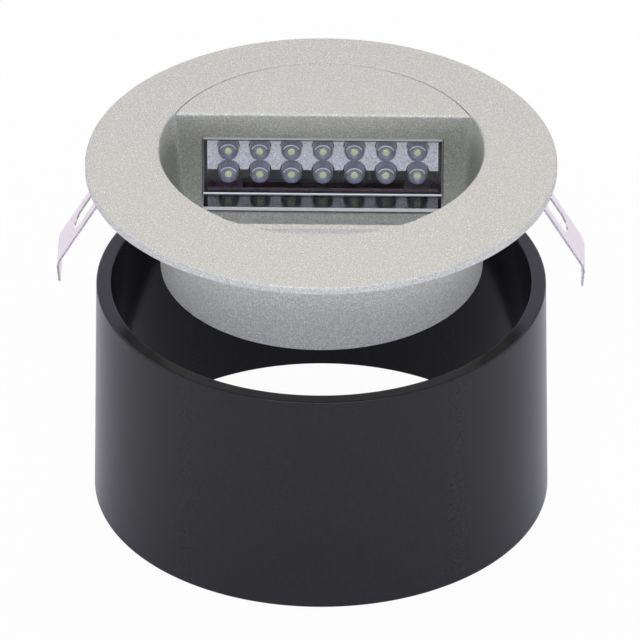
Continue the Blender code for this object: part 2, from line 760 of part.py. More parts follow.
def build_gland():
    """Cable gland: threaded body, lock nut inside, seal and cap below. Its cable isn't part of the light."""
    axis = (0, gland_y, 0)
    collar_top = cover_under_depth + seat_gap
    collar_end = collar_top + gland_collar_height
    nut_low = cover_top_depth - seat_gap
    thread_top = nut_low - gland_nut_height - gland_thread_reach
    neck_end = collar_end + gland_neck_length
    neck_bore = gland_bore_radius + gland_seal_wall + seat_gap
    body = hexagon("gland_body", gland_collar_across, -collar_end, gland_collar_height, black_plastic)
    tube = rod("gland_thread", gland_thread_radius, (0, gland_y, -neck_end), neck_end - thread_top,
               segments=medium_segments)
    combine(body, tube, "UNION")
    bore = rod("gland_bore", gland_bore_radius, (0, gland_y, -neck_end - cut_overrun),
               neck_end - thread_top + 2 * cut_overrun, segments=medium_segments)
    combine(body, bore)
    seal_length = gland_neck_length
    seat = rod("seal_seat", neck_bore, (0, gland_y, -neck_end - cut_overrun), seal_length + cut_overrun,
               segments=medium_segments)
    combine(body, seat)
    nut = hexagon("gland_nut", gland_collar_across, -nut_low, gland_nut_height, black_plastic)
    combine(nut, rod("nut_bore", gland_thread_radius + seat_gap, (0, gland_y, -nut_low - cut_overrun),
                     gland_nut_height + 2 * cut_overrun, segments=medium_segments))
    seal_outer = neck_bore - seat_gap
    seal_top = neck_end - seal_length + seat_gap
    profile = [(seal_outer, -seal_top), (seal_outer, -neck_end), (gland_bore_radius, -neck_end),
               (gland_bore_radius, -seal_top)]
    turned("gland_seal", profile, axis, medium_segments, True, dark_rubber)
    cap_top = collar_end + gland_cap_gap
    cap_end = cap_top + gland_cap_height
    cap_roof = neck_end + seat_gap
    cap_inner = gland_thread_radius + seat_gap
    profile = [(gland_cap_radius, -cap_top), (gland_cap_radius, -neck_end + gland_cap_wall),
               (gland_cap_end_radius, -cap_end), (gland_bore_radius, -cap_end),
               (gland_bore_radius, -cap_roof), (cap_inner, -cap_roof), (cap_inner, -cap_top)]
    turned("gland_cap", profile, axis, medium_segments, True, black_plastic)


def build_flange_gasket():
    """Soft ring under the flange that lands on the sleeve's rim."""
    top = -flange_gasket_depth
    low = top - flange_gasket_thickness
    profile = [(flange_gasket_outer, top), (flange_gasket_outer, low), (flange_gasket_inner, low),
               (flange_gasket_inner, top)]
    turned("flange_gasket", profile, closed=True, finish=dark_rubber)


def strip(name, path, thickness, width, finish, frame):
    """A bent strip: the path's (x, z) points run down its middle, and it is extruded along Y."""
    offsets = []
    for index, point in enumerate(path):
        before = path[max(index - 1, 0)]
        after = path[min(index + 1, len(path) - 1)]
        into = (point[0] - before[0], point[1] - before[1])
        out = (after[0] - point[0], after[1] - point[1])
        normals = []
        for step in (into, out):
            size = math.hypot(*step)
            if size > 0:
                normals.append((-step[1] / size, step[0] / size))
        normal = [sum(values) / len(normals) for values in zip(*normals)]
        scale = thickness / 2 / (normal[0] ** 2 + normal[1] ** 2)
        offsets.append((normal[0] * scale, normal[1] * scale))
    outline = [(x + dx, z + dz) for (x, z), (dx, dz) in zip(path, offsets)]
    outline += [(x - dx, z - dz) for (x, z), (dx, dz) in reversed(list(zip(path, offsets)))]
    work = bmesh.new()
    face = work.faces.new([work.verts.new((x, -width / 2, z)) for x, z in outline])
    result = bmesh.ops.extrude_face_region(work, geom=[face])
    for vertex in result["geom"]:
        if isinstance(vertex, bmesh.types.BMVert):
            vertex.co.y = width / 2
    return add_object(name, mesh_from(name, work), finish, frame)


def build_clip(side, word):
    """One spring clip: a riveted base under the flange, and the leg that grips the sleeve's bore."""
    bend = clip_bend_radius
    bridge = -clip_bridge_depth
    path = [(strip_x, -clip_root_depth)]
    path += arc((strip_x + bend, bridge - bend), bend, 180, 90)
    path.append((clip_hinge_x - clip_bend_gap, bridge))
    base = strip(f"clip_base_{word}", [(side * x, z) for x, z in path], clip_thickness, clip_width,
                 spring_steel, light_frame)
    place = (side * (strip_x - cut_overrun), 0, -rivet_depth)
    combine(base, rod("clip_rivet_hole", rivet_hole_radius, place, side * 2 * cut_overrun, "X"))

    hinge = add_frame(f"clip_hinge_{word}", (side * clip_hinge_x, 0, flange_top - clip_bridge_depth))
    run = clip_fold_x - clip_hinge_x
    drop = clip_fold_depth - clip_bridge_depth
    slope = math.hypot(run, drop)
    along = (run / slope, -drop / slope)
    flap = (clip_tip_x - clip_fold_x, clip_fold_depth - clip_tip_depth)
    flap_length = math.hypot(*flap)
    leg_path = [(along[0] * clip_leg_start, along[1] * clip_leg_start)]
    leg_path.append((along[0] * (slope - bend), along[1] * (slope - bend)))
    leg_path.append((run + flap[0] / flap_length * bend, -drop + flap[1] / flap_length * bend))
    leg_path.append((run + flap[0], -drop + flap[1]))
    leg = strip(f"clip_leg_{word}", [(side * x, z) for x, z in leg_path], clip_thickness, clip_width,
                spring_steel, hinge)
    slot_end = slope - clip_slot_margin - clip_slot_width / 2
    middle = (clip_slot_start + slot_end) / 2
    slot = box("clip_slot", (-cut_overrun, -clip_slot_width / 2, clip_slot_start - middle),
               (cut_overrun, clip_slot_width / 2, slot_end - middle), frame=hinge)
    round_end = rod("slot_end", clip_slot_width / 2, (0, 0, 0), 2 * cut_overrun, "X",
                    medium_segments, frame=hinge)
    tilt = math.atan2(run, drop)
    for cutter, distance in ((slot, middle), (round_end, slot_end)):
        cutter.location = (side * along[0] * distance, 0, along[1] * distance)
    slot.rotation_euler = (math.pi, -side * tilt, 0)
    round_end.rotation_euler = (0, math.pi / 2 - side * tilt, 0)
    combine(leg, slot)
    combine(leg, round_end)

    shank = clip_thickness + rivet_grip
    profile = [(0, shank), (rivet_radius, shank), (rivet_radius, 0)]
    profile += [(radius, height * rivet_head_height / rivet_head_radius)
                for radius, height in arc((0, 0), rivet_head_radius, 0, -90)]
    place = (side * (strip_x + clip_thickness / 2 + seat_gap), 0, -rivet_depth)
    rivet = turned(f"clip_rivet_{word}", profile, place, small_segments, finish=plated_steel)
    rivet.rotation_euler = (0, -side * math.pi / 2, 0)


def settle(items):
    """Turn the modifiers into plain meshes, shaded smooth with sharp edges kept."""
    bpy.context.view_layer.update()
    depsgraph = bpy.context.evaluated_depsgraph_get()
    meshes = [bpy.data.meshes.new_from_object(item.evaluated_get(depsgraph)) for item in items]
    for item, mesh in zip(items, meshes):
        item.modifiers.clear()
        item.data = mesh
        mesh.shade_smooth()
        mesh.set_sharp_from_angle(angle=sharp_angle)


build_sleeve()
build_face()
build_hood()
build_window()
build_lamps()
build_lamp_holder()
build_boards()
build_driver_parts()
build_screws()
build_cover()
build_gland()
build_flange_gasket()
build_clip(-1, "left")
build_clip(1, "right")
settle([item for item in pieces.objects if item.type == "MESH"])
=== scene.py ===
"""Looks of a recessed outdoor light: a die-cast face with fourteen lamps, lifted out above its sleeve."""

from __future__ import annotations

import json
import logging
import math
from dataclasses import dataclass, field
from enum import Enum

import bmesh
import bpy
from mathutils import Matrix, Vector

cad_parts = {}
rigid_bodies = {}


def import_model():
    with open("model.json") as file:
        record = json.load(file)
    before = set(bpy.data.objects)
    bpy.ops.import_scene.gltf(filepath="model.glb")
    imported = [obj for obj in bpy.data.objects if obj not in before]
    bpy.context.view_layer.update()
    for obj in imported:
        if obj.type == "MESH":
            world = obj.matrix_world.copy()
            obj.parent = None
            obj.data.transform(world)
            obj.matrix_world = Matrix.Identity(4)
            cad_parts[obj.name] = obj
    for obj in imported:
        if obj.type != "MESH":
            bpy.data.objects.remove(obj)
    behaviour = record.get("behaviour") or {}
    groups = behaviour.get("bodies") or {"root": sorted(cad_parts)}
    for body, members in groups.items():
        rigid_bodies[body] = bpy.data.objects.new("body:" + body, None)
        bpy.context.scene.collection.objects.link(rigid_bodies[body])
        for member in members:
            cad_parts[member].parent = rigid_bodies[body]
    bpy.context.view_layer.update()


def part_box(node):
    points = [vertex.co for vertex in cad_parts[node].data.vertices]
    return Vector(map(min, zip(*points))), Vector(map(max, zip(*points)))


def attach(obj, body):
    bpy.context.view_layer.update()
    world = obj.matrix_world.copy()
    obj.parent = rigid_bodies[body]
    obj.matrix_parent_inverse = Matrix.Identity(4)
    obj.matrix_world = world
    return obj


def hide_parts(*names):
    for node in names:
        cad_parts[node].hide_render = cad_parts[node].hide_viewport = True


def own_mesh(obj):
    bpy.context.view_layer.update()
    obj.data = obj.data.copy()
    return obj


log = logging.getLogger("recessed_light")

MILLIMETRE = 0.001
# Points closer than this are one.
MERGE = 0.001 * MILLIMETRE
# How far a cutter runs out of what it cuts.
OVERRUN = 0.002
# How far a cutter passes a face that it only has to reach.
CLEAN_CUT = 0.1 * MILLIMETRE
# Play between a piece and its seat.
SEAT_GAP = 0.0003
# Edges sharper than this stay creases.
CREASE_ANGLE = math.radians(32)
BEVEL_STEPS = 3
WHITE = "ffffff"
COVER_SCREWS = ["cover_screw_1", "cover_screw_2", "cover_screw_3", "cover_screw_4"]
BOARD_SCREWS = ["board_screw_left", "board_screw_right"]

Point = tuple[float, float]
Place = tuple[float, float, float]


def linear(code: str) -> tuple[float, float, float, float]:
    """Turn an sRGB hex colour into linear values.

    Args:
        code: six hex digits, such as "c8c6c3".

    Returns:
        Red, green, blue and an alpha of one.
    """
    values = [int(code[index:index + 2], 16) / 255 for index in (0, 2, 4)]
    red, green, blue = (v / 12.92 if v <= 0.04045 else ((v + 0.055) / 1.055) ** 2.4 for v in values)
    return (red, green, blue, 1.0)


def pattern_scale(size_mm: float) -> float:
    """Texture scale whose features are this many millimetres across, on Object coordinates."""
    return 1 / (size_mm * MILLIMETRE)


def add_node(tree: bpy.types.NodeTree, kind: str, inputs: dict[str | int, object] | None = None,
             **settings: object) -> bpy.types.Node:
    """Add a node with its settings, values and links.

    Args:
        tree: the node tree.
        kind: the node's type name.
        inputs: values or sockets by the input's name or index.
        settings: properties of the node.

    Returns:
        The new node.
    """
    node = tree.nodes.new(kind)
    for name, value in settings.items():
        setattr(node, name, value)
    for key, value in (inputs or {}).items():
        if isinstance(value, bpy.types.NodeSocket):
            tree.links.new(value, node.inputs[key])
        else:
            node.inputs[key].default_value = value
    return node


def new_material(name: str) -> tuple[bpy.types.Material, bpy.types.NodeTree]:
    """Start a material with an empty tree.

    Args:
        name: the finish's name.

    Returns:
        The material and its node tree.
    """
    material = bpy.data.materials.new(name)
    material.use_nodes = True
    material.node_tree.nodes.clear()
    return material, material.node_tree


@dataclass(frozen=True)
class Grain:
    """Noise that blends a surface's two tones and raises its relief."""

    size_mm: float
    relief_mm: float
    detail: float = 4.0
    roughness: float = 0.55
    span: Point = (0.3, 0.7)
    strength: float = 0.4

    def build(self, tree: bpy.types.NodeTree, place: bpy.types.NodeSocket, dark: str,
              light: str) -> tuple[bpy.types.NodeSocket, bpy.types.NodeSocket, bpy.types.NodeSocket]:
        """Add the grain to a material.

        Args:
            tree: the material's tree.
            place: the coordinates that it follows.
            dark: the tone of its hollows.
            light: the tone of its tops.

        Returns:
            The sockets of its height, its colour and its normal.
        """
        noise = add_node(tree, "ShaderNodeTexNoise", {
            "Vector": place, "Scale": pattern_scale(self.size_mm), "Detail": self.detail,
            "Roughness": self.roughness})
        height = noise.outputs["Fac"]
        tone = add_node(tree, "ShaderNodeMapRange", {
            "Value": height, "From Min": self.span[0], "From Max": self.span[1]})
        colour = add_node(tree, "ShaderNodeMix", {
            "Factor": tone.outputs["Result"], "A": linear(dark), "B": linear(light)}, data_type="RGBA")
        bump = add_node(tree, "ShaderNodeBump", {
            "Height": height, "Strength": self.strength, "Distance": self.relief_mm * MILLIMETRE})
        return height, colour.outputs["Result"], bump.outputs["Normal"]


@dataclass(frozen=True)
class PowderCoat:
    """Silver polyester powder coat with metallic flake, sprayed and baked on a casting.

    It gives a pale satin grey with a fine orange-peel grain and small bright flakes. Real flakes are a few
    hundredths of a millimetre wide. That is too fine for the picture, so they are drawn coarser, to show.
    """

    name: str = "silver_powder_coat"
    light: str = "dddfd1"
    dark: str = "b3b4aa"
    flake: str = "f6f7ec"
    grain: Grain = Grain(0.36, 0.03, detail=3.0, roughness=0.6, span=(0.34, 0.66), strength=0.55)
    flake_mm: float = 0.24
    flake_share: float = 0.2
    flake_reach: float = 0.42
    roughness: float = 0.42
    metallic: float = 0.55

    def build(self) -> bpy.types.Material:
        """Make the material.

        Returns:
            The finished material.
        """
        material, tree = new_material(self.name)
        place = add_node(tree, "ShaderNodeTexCoord").outputs["Object"]
        _, base, normal = self.grain.build(tree, place, self.dark, self.light)
        cells = add_node(tree, "ShaderNodeTexVoronoi", {
            "Vector": place, "Scale": pattern_scale(self.flake_mm)})
        lottery = add_node(tree, "ShaderNodeSeparateColor", {"Color": cells.outputs["Color"]})
        chosen = add_node(tree, "ShaderNodeMath", {
            0: lottery.outputs["Red"], 1: self.flake_share}, operation="LESS_THAN")
        near = add_node(tree, "ShaderNodeMath", {
            0: cells.outputs["Distance"], 1: self.flake_reach}, operation="LESS_THAN")
        spot = add_node(tree, "ShaderNodeMath", {
            0: chosen.outputs[0], 1: near.outputs[0]}, operation="MULTIPLY")
        coat = add_node(tree, "ShaderNodeMix", {
            "Factor": spot.outputs[0], "A": base, "B": linear(self.flake)}, data_type="RGBA")
        shader = add_node(tree, "ShaderNodeBsdfPrincipled", {
            "Base Color": coat.outputs["Result"], "Roughness": self.roughness,
            "Metallic": self.metallic, "Normal": normal})
        add_node(tree, "ShaderNodeOutputMaterial", {"Surface": shader.outputs["BSDF"]})
        return material


@dataclass(frozen=True)
class Moulded:
    """A moulded, rolled or coated surface: two close tones in a fine grain, over a soft relief.

    Its glow lifts small bright surfaces, which are lit more in the photograph than in this studio.
    """

    name: str
    light: str
    dark: str
    roughness: float
    grain: Grain
    metallic: float = 0.0
    ior: float = 1.5
    roughness_spread: float = 0.06
    glow: float = 0.0

    def build(self) -> bpy.types.Material:
        """Make the material.

        Returns:
            The finished material.
        """
        material, tree = new_material(self.name)
        place = add_node(tree, "ShaderNodeTexCoord").outputs["Object"]
        height, colour, normal = self.grain.build(tree, place, self.dark, self.light)
        gloss = add_node(tree, "ShaderNodeMapRange", {
            "Value": height, "To Min": self.roughness - self.roughness_spread,
            "To Max": self.roughness + self.roughness_spread})
        shader = add_node(tree, "ShaderNodeBsdfPrincipled", {
            "Base Color": colour, "Roughness": gloss.outputs["Result"], "Metallic": self.metallic,
            "IOR": self.ior, "Normal": normal, "Emission Color": linear(self.light),
            "Emission Strength": self.glow})
        add_node(tree, "ShaderNodeOutputMaterial", {"Surface": shader.outputs["BSDF"]})
        return material


@dataclass(frozen=True)
class ClearResin:
    """Clear plastic that light passes through: polished acrylic sheet or cast epoxy, with faint haze.

    Rays from the lamps pass straight through it, so that what lies behind is lit.
    """

    name: str
    tint: str = "f4f6f8"
    roughness: float = 0.02
    ior: float = 1.49
    clarity: float = 1.0
    haze_mm: float = 2.5
    haze_detail: float = 2.0
    gloss_span: Point = (0.5, 1.5)
    relief_mm: float = 0.004
    relief_strength: float = 0.3
    shine: float = 0.5
    glow: float = 0.0

    def build(self) -> bpy.types.Material:
        """Make the material.

        Returns:
            The finished material.
        """
        material, tree = new_material(self.name)
        place = add_node(tree, "ShaderNodeTexCoord").outputs["Object"]
        haze = add_node(tree, "ShaderNodeTexNoise", {
            "Vector": place, "Scale": pattern_scale(self.haze_mm), "Detail": self.haze_detail})
        smoothest, roughest = (self.roughness * share for share in self.gloss_span)
        gloss = add_node(tree, "ShaderNodeMapRange", {
            "Value": haze.outputs["Fac"], "To Min": smoothest, "To Max": roughest})
        bump = add_node(tree, "ShaderNodeBump", {
            "Height": haze.outputs["Fac"], "Strength": self.relief_strength,
            "Distance": self.relief_mm * MILLIMETRE})
        shader = add_node(tree, "ShaderNodeBsdfPrincipled", {
            "Base Color": linear(self.tint), "Roughness": gloss.outputs["Result"], "IOR": self.ior,
            "Transmission Weight": self.clarity, "Normal": bump.outputs["Normal"],
            "Specular IOR Level": self.shine, "Emission Color": linear(self.tint),
            "Emission Strength": self.glow})
        rays = add_node(tree, "ShaderNodeLightPath")
        lamp_light = add_node(tree, "ShaderNodeBsdfTransparent", {"Color": linear(self.tint)})
        mix = add_node(tree, "ShaderNodeMixShader", {
            0: rays.outputs["Is Shadow Ray"], 1: shader.outputs["BSDF"], 2: lamp_light.outputs["BSDF"]})
        add_node(tree, "ShaderNodeOutputMaterial", {"Surface": mix.outputs["Shader"]})
        return material


class Finish(Enum):
    """The finishes of this light's pieces, each named for what it is made of, how it was made, or the
    painted light or shade that it carries.
    """

    COAT = PowderCoat()
    # Polypropylene from a polished mould: near black, with broad soft reflections at its sides.
    SLEEVE = Moulded("black_polypropylene", "232321", "1e1e1c", 0.16, Grain(0.8, 0.002), ior=1.4)
    # Cast acrylic sheet: all but unseen, with sharp reflections.
    CLEAR = ClearResin("polished_acrylic")
    # The same sheet where it was sawn: frosted, so that its edges show as pale lines, lifted further by a
    # painted glow.
    SAWN = ClearResin("sawn_acrylic_edge", WHITE, 0.6, clarity=0.1, glow=0.12)
    # The same sheet along the bend: a whitish, glowing line along the foot, painted as the bend's
    # highlight.
    CREASE = ClearResin("creased_acrylic", WHITE, 0.5, clarity=0.2, glow=0.35)
    # Epoxy cast round each lamp: clear and faintly violet, with a hard shine.
    EPOXY = ClearResin("cast_epoxy", "f0f2fa", 0.01, ior=1.56, clarity=0.93, shine=1.0)
    # Metallised film under the foot: its mirror of the lamps is rendered, its dark red-brown tint is
    # painted shade.
    MIRROR = Moulded("smoked_mirror_film", "44302f", "321f20", 0.07, Grain(1.5, 0.004), metallic=1.0,
                     roughness_spread=0.03)
    # Silver-plated lead frame, stamped: a soft grey cup round the chip, with a faint painted glow.
    CUP = Moulded("frosted_silver_cup", "b4b4c4", "9898a8", 0.3, Grain(0.3, 0.004), metallic=0.3, glow=0.04)
    # Painted highlight: a glowing white arc along each cup's upper rim, over the chip.
    GLINT = Moulded("polished_cup_rim", WHITE, "f0f0f4", 0.3, Grain(0.3, 0.002), metallic=0.2, glow=0.35)
    # Phosphor in gel: matt greenish yellow, lifted by a painted glow.
    CHIP = Moulded("phosphor_chip", "e4ecaa", "c2d084", 0.5, Grain(0.2, 0.01), glow=0.3)
    # Metallised film, crinkled as it was laid: silver, in small light and dark facets. Their relief is
    # drawn deeper than it is, so that it shows. Its glow is painted light scattered onto it by the lamps.
    HOLDER = Moulded("crinkled_silver_film", "fafaff", "a8a8b2", 0.34, Grain(0.45, 0.3), metallic=0.3,
                     glow=0.25)
    # Solder mask over copper: dark, reddish and glossy.
    LAMP_BOARD = Moulded("dark_solder_mask", "54383a", "3a2628", 0.2, Grain(0.8, 0.01))
    # Spring steel, rolled and polished: all but white, faintly pink, lifted by a painted glow.
    SPRING = Moulded("polished_spring_steel", "fdf6f5", "f2e8e8", 0.14, Grain(0.5, 0.003), metallic=1.0,
                     glow=0.17)
    # The strip's edges as the shear left them: dull, so that they draw a grey line round it.
    SHEARED = Moulded("sheared_steel_edge", "beb8ba", "aca6a8", 0.45, Grain(0.5, 0.003), metallic=0.4)
    # Steel plated in zinc: plain grey with a satin shine.
    PLATED = Moulded("zinc_plated_steel", "c4c4c2", "a6a6a2", 0.28, Grain(0.4, 0.006), metallic=1.0)
    # Silicone from a blasted mould: matt black.
    RUBBER = Moulded("black_silicone", "1c1c1c", "141414", 0.75, Grain(0.5, 0.02))
    # Silicone laid as a bead and smoothed: dark grey with some shine.
    BEAD = Moulded("dark_silicone_bead", "2c2a2c", "221f22", 0.5, Grain(0.5, 0.03))
    # The casting's inside, left without powder coat: its dull brownish grey is painted shade for the dark
    # compartment.
    INSIDE = Moulded("dark_conversion_coat", "806668", "604c4e", 0.4, Grain(0.6, 0.02))
    # Nylon from a finely blasted mould: black satin.
    NYLON = Moulded("black_nylon", "1a1a1a", "121212", 0.45, Grain(0.5, 0.012))
    # Phenolic paper board, pressed: dark brown with a dull shine.
    DRIVER_BOARD = Moulded("brown_phenolic_board", "3a1c18", "2c1410", 0.35, Grain(1.2, 0.01))
    # Moulded polyester case: slate grey.
    FILM = Moulded("grey_film_case", "4a4c52", "3c3e44", 0.35, Grain(0.7, 0.01))
    # Vinyl tube shrunk on a can: blue-black and shiny.
    CAPACITOR_SLEEVE = Moulded("shrunk_vinyl_sleeve", "22242c", "191b22", 0.3, Grain(0.9, 0.01))
    # Epoxy filled with silica, moulded: matt black.
    RECTIFIER = Moulded("filled_epoxy_case", "202020", "171717", 0.6, Grain(0.3, 0.015))
    # Dipped enamel: pale blue and shiny.
    RESISTOR = Moulded("blue_resistor_enamel", "86a6b8", "7797a8", 0.3, Grain(0.5, 0.01))
    # Polyamide from a textured mould: black satin.
    TERMINAL = Moulded("terminal_polyamide", "1e1c1c", "161414", 0.45, Grain(0.4, 0.012))

    @property
    def material(self) -> bpy.types.Material:
        """The finish's material, built when it is first used."""
        found = bpy.data.materials.get(self.value.name)
        return found or self.value.build()


def node_middle(name: str) -> Vector:
    """The middle of a CAD node's box."""
    return sum(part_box(name), Vector()) / 2


def mesh_from(work: bmesh.types.BMesh, name: str) -> bpy.types.Mesh:
    """Close a bmesh into a mesh whose faces point outwards.

    Args:
        work: the bmesh, which is freed.
        name: the mesh's name.

    Returns:
        The new mesh.
    """
    bmesh.ops.remove_doubles(work, verts=work.verts, dist=MERGE)
    bmesh.ops.recalc_face_normals(work, faces=work.faces)
    mesh = bpy.data.meshes.new(name)
    work.to_mesh(mesh)
    work.free()
    return mesh


def new_object(name: str, mesh: bpy.types.Mesh) -> bpy.types.Object:
    """Link a mesh into the scene, at the origin.

    Args:
        name: the object's name.
        mesh: its mesh.

    Returns:
        The new object.
    """
    item = bpy.data.objects.new(name, mesh)
    bpy.context.scene.collection.objects.link(item)
    return item


def loft(name: str, rings: list[list[Place]], closed: bool = False) -> bpy.types.Object:
    """Skin rings of points that all hold the same number.

    Args:
        name: the object's name.
        rings: loops of points, each one closed.
        closed: whether the last ring joins the first; otherwise both ends are capped.

    Returns:
        The new object.
    """
    work = bmesh.new()
    loops = [[work.verts.new(point) for point in ring] for ring in rings]
    pairs = list(zip(loops, loops[1:]))
    if closed:
        pairs.append((loops[-1], loops[0]))
    for first, second in pairs:
        for i, vertex in enumerate(first):
            j = (i + 1) % len(first)
            work.faces.new((vertex, first[j], second[j], second[i]))
    if not closed:
        work.faces.new(loops[0])
        work.faces.new(loops[-1])
    return new_object(name, mesh_from(work, name))


def turned(name: str, profile: list[Point], segments: int, centre: Point = (0.0, 0.0),
           closed: bool = False) -> bpy.types.Object:
    """A turned shape about an upright axis.

    Args:
        name: the object's name.
        profile: points of radius and height; without closed, its ends are capped flat.
        segments: segments a turn.
        centre: where the axis stands.
        closed: whether the profile is a closed ring, as for a tube.

    Returns:
        The new object.
    """
    angles = [2 * math.pi * step / segments for step in range(segments)]
    rings = [[(centre[0] + radius * math.cos(a), centre[1] + radius * math.sin(a), height)
              for a in angles] for radius, height in profile]
    return loft(name, rings, closed)


def extruded(name: str, section: list[Point], start: float, end: float) -> bpy.types.Object:
    """A section of Y and Z points, drawn out along X from start to end."""
    return loft(name, [[(x, y, z) for y, z in section] for x in (start, end)])


def box(name: str, low: Place, high: Place) -> bpy.types.Object:
    """A box between two corners.

    Args:
        name: the object's name.
        low: its lowest corner.
        high: its highest corner.

    Returns:
        The new object.
    """
    work = bmesh.new()
    bmesh.ops.create_cube(work, size=1)
    middle = (Vector(low) + Vector(high)) / 2
    size = Vector(high) - Vector(low)
    placed = Matrix.Translation(middle) @ Matrix.Diagonal((*size, 1))
    bmesh.ops.transform(work, matrix=placed, verts=work.verts)
    return new_object(name, mesh_from(work, name))


def rod(name: str, radius: float, start: Place, end: Place, segments: int) -> bpy.types.Object:
    """A cylinder between two points.

    Args:
        name: the object's name.
        radius: its radius.
        start: the centre of one end.
        end: the centre of the other.
        segments: segments a turn.

    Returns:
        The new object.
    """
    work = bmesh.new()
    along = Vector(end) - Vector(start)
    bmesh.ops.create_cone(work, cap_ends=True, segments=segments, radius1=radius, radius2=radius,
                          depth=along.length)
    turn = along.to_track_quat("Z", "Y").to_matrix().to_4x4()
    middle = (Vector(start) + Vector(end)) / 2
    bmesh.ops.transform(work, matrix=Matrix.Translation(middle) @ turn, verts=work.verts)
    return new_object(name, mesh_from(work, name))


def arc(centre: Point, radius: float, start: float, end: float, steps: int = 8) -> list[Point]:
    """Points along an arc, both ends included.

    Args:
        centre: the arc's centre.
        radius: its radius.
        start: its first angle in degrees.
        end: its last angle in degrees.
        steps: how many steps it has.

    Returns:
        The points.
    """
    angles = [math.radians(start + (end - start) * step / steps) for step in range(steps + 1)]
    return [(centre[0] + radius * math.cos(a), centre[1] + radius * math.sin(a)) for a in angles]


def bake(item: bpy.types.Object) -> None:
    """Turn an object's modifiers into a plain mesh.

    Args:
        item: the object.
    """
    depsgraph = bpy.context.evaluated_depsgraph_get()
    mesh = bpy.data.meshes.new_from_object(item.evaluated_get(depsgraph))
    item.modifiers.clear()
    item.data = mesh


def carve(item: bpy.types.Object, steps: list[tuple[bpy.types.Object, str]]) -> None:
    """Cut, join or intersect an object with others, which are then removed.

    Args:
        item: the object to change.
        steps: each other object and its Boolean operation, in order.
    """
    for other, operation in steps:
        change = item.modifiers.new(other.name, "BOOLEAN")
        change.object = other
        change.operation = operation
        change.solver = "EXACT"
    bake(item)
    for other, _ in steps:
        bpy.data.objects.remove(other, do_unlink=True)


def smooth(item: bpy.types.Object, bevel: float = 0.0) -> None:
    """Shade an object smooth with its creases kept, and break its sharp edges if asked.

    Args:
        item: the object.
        bevel: width of the rounding along the creases, or zero.
    """
    if bevel:
        rounding = item.modifiers.new("edge_round", "BEVEL")
        rounding.width = bevel
        rounding.segments = BEVEL_STEPS
        rounding.limit_method = "ANGLE"
        rounding.angle_limit = CREASE_ANGLE
        bake(item)
    item.data.shade_smooth()
    item.data.set_sharp_from_angle(angle=CREASE_ANGLE)
    weights = item.modifiers.new("flat_faces_first", "WEIGHTED_NORMAL")
    weights.keep_sharp = True
    bake(item)


def dress(item: bpy.types.Object, *finishes: Finish) -> None:
    """Give an object its finishes as material slots, in place of those it has.

    Args:
        item: the object.
        finishes: the finish of each slot, in order.
    """
    item.data.materials.clear()
    for finish in finishes:
        item.data.materials.append(finish.material)


def report(item: bpy.types.Object, body: str) -> None:
    """Note a finished piece, its faces and its body in the log."""
    log.info("%s: %d faces on %s", item.name, len(item.data.polygons), body)


def hand_over(item: bpy.types.Object, finish: Finish, body: str, nodes: list[str]) -> None:
    """Finish a piece: its material, its body and the nodes it stands for.

    Args:
        item: the piece.
        finish: its finish, for a piece that has none yet.
        body: the body that it rides on.
        nodes: the CAD nodes that it replaces.
    """
    if not item.data.materials:
        dress(item, finish)
    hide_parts(*nodes)
    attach(item, body)
    report(item, body)


class NodeTool:
    """A Geometry Nodes tree with named inputs, and the modifier that runs it on one object."""

    def __init__(self, name: str, sizes: dict[str, object]) -> None:
        """Start the tree with its inputs.

        Args:
            name: the tree's name.
            sizes: each input's name and value; its type follows from the value.
        """
        self.tree = bpy.data.node_groups.new(name, "GeometryNodeTree")
        self.sizes = sizes
        self.identifiers: dict[str, str] = {}
        kinds = {int: "NodeSocketInt", float: "NodeSocketFloat", tuple: "NodeSocketVector",
                 bpy.types.Material: "NodeSocketMaterial"}
        face = self.tree.interface
        face.new_socket("Geometry", in_out="INPUT", socket_type="NodeSocketGeometry")
        for key, value in sizes.items():
            socket = face.new_socket(key, in_out="INPUT", socket_type=kinds[type(value)])
            self.identifiers[key] = socket.identifier
        face.new_socket("Geometry", in_out="OUTPUT", socket_type="NodeSocketGeometry")
        self.start = add_node(self.tree, "NodeGroupInput")

    def size(self, key: str) -> bpy.types.NodeSocket:
        """The socket of a named input."""
        return self.start.outputs[key]

    def run(self, item: bpy.types.Object, geometry: bpy.types.NodeSocket) -> None:
        """End the tree with Realize Instances and Set Material, run it on an object and keep the result.

        Args:
            item: the object whose mesh goes in, and which takes the result.
            geometry: the tree's last geometry socket.
        """
        real = add_node(self.tree, "GeometryNodeRealizeInstances", {"Geometry": geometry})
        dressed = add_node(self.tree, "GeometryNodeSetMaterial", {
            "Geometry": real.outputs["Geometry"], "Material": self.size("Finish")})
        add_node(self.tree, "NodeGroupOutput", {"Geometry": dressed.outputs["Geometry"]})
        modifier = item.modifiers.new(self.tree.name, "NODES")
        modifier.node_group = self.tree
        for key, value in self.sizes.items():
            modifier[self.identifiers[key]] = value
        bake(item)


@dataclass
class Layout:
    """Places that several pieces share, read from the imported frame."""

    sleeve_height: float = field(init=False)
    flange_top: float = field(init=False)
    flange_radius: float = field(init=False)
    hood_radius: float = field(init=False)
    can_offset: float = field(init=False)
    far_wall_y: float = field(init=False)
    can_bottom: float = field(init=False)

    def __post_init__(self) -> None:
        """Read the frame's boxes."""
        self.sleeve_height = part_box("mounting_sleeve")[1].z
        low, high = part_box("face_casting")
        self.flange_top = high.z
        self.can_bottom = low.z
        self.can_offset = node_middle("back_cover").y
        hood_low, hood_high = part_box("hood")
        self.hood_radius = hood_high.y - self.can_offset
        self.far_wall_y = hood_low.y
        self.flange_radius = -low.y


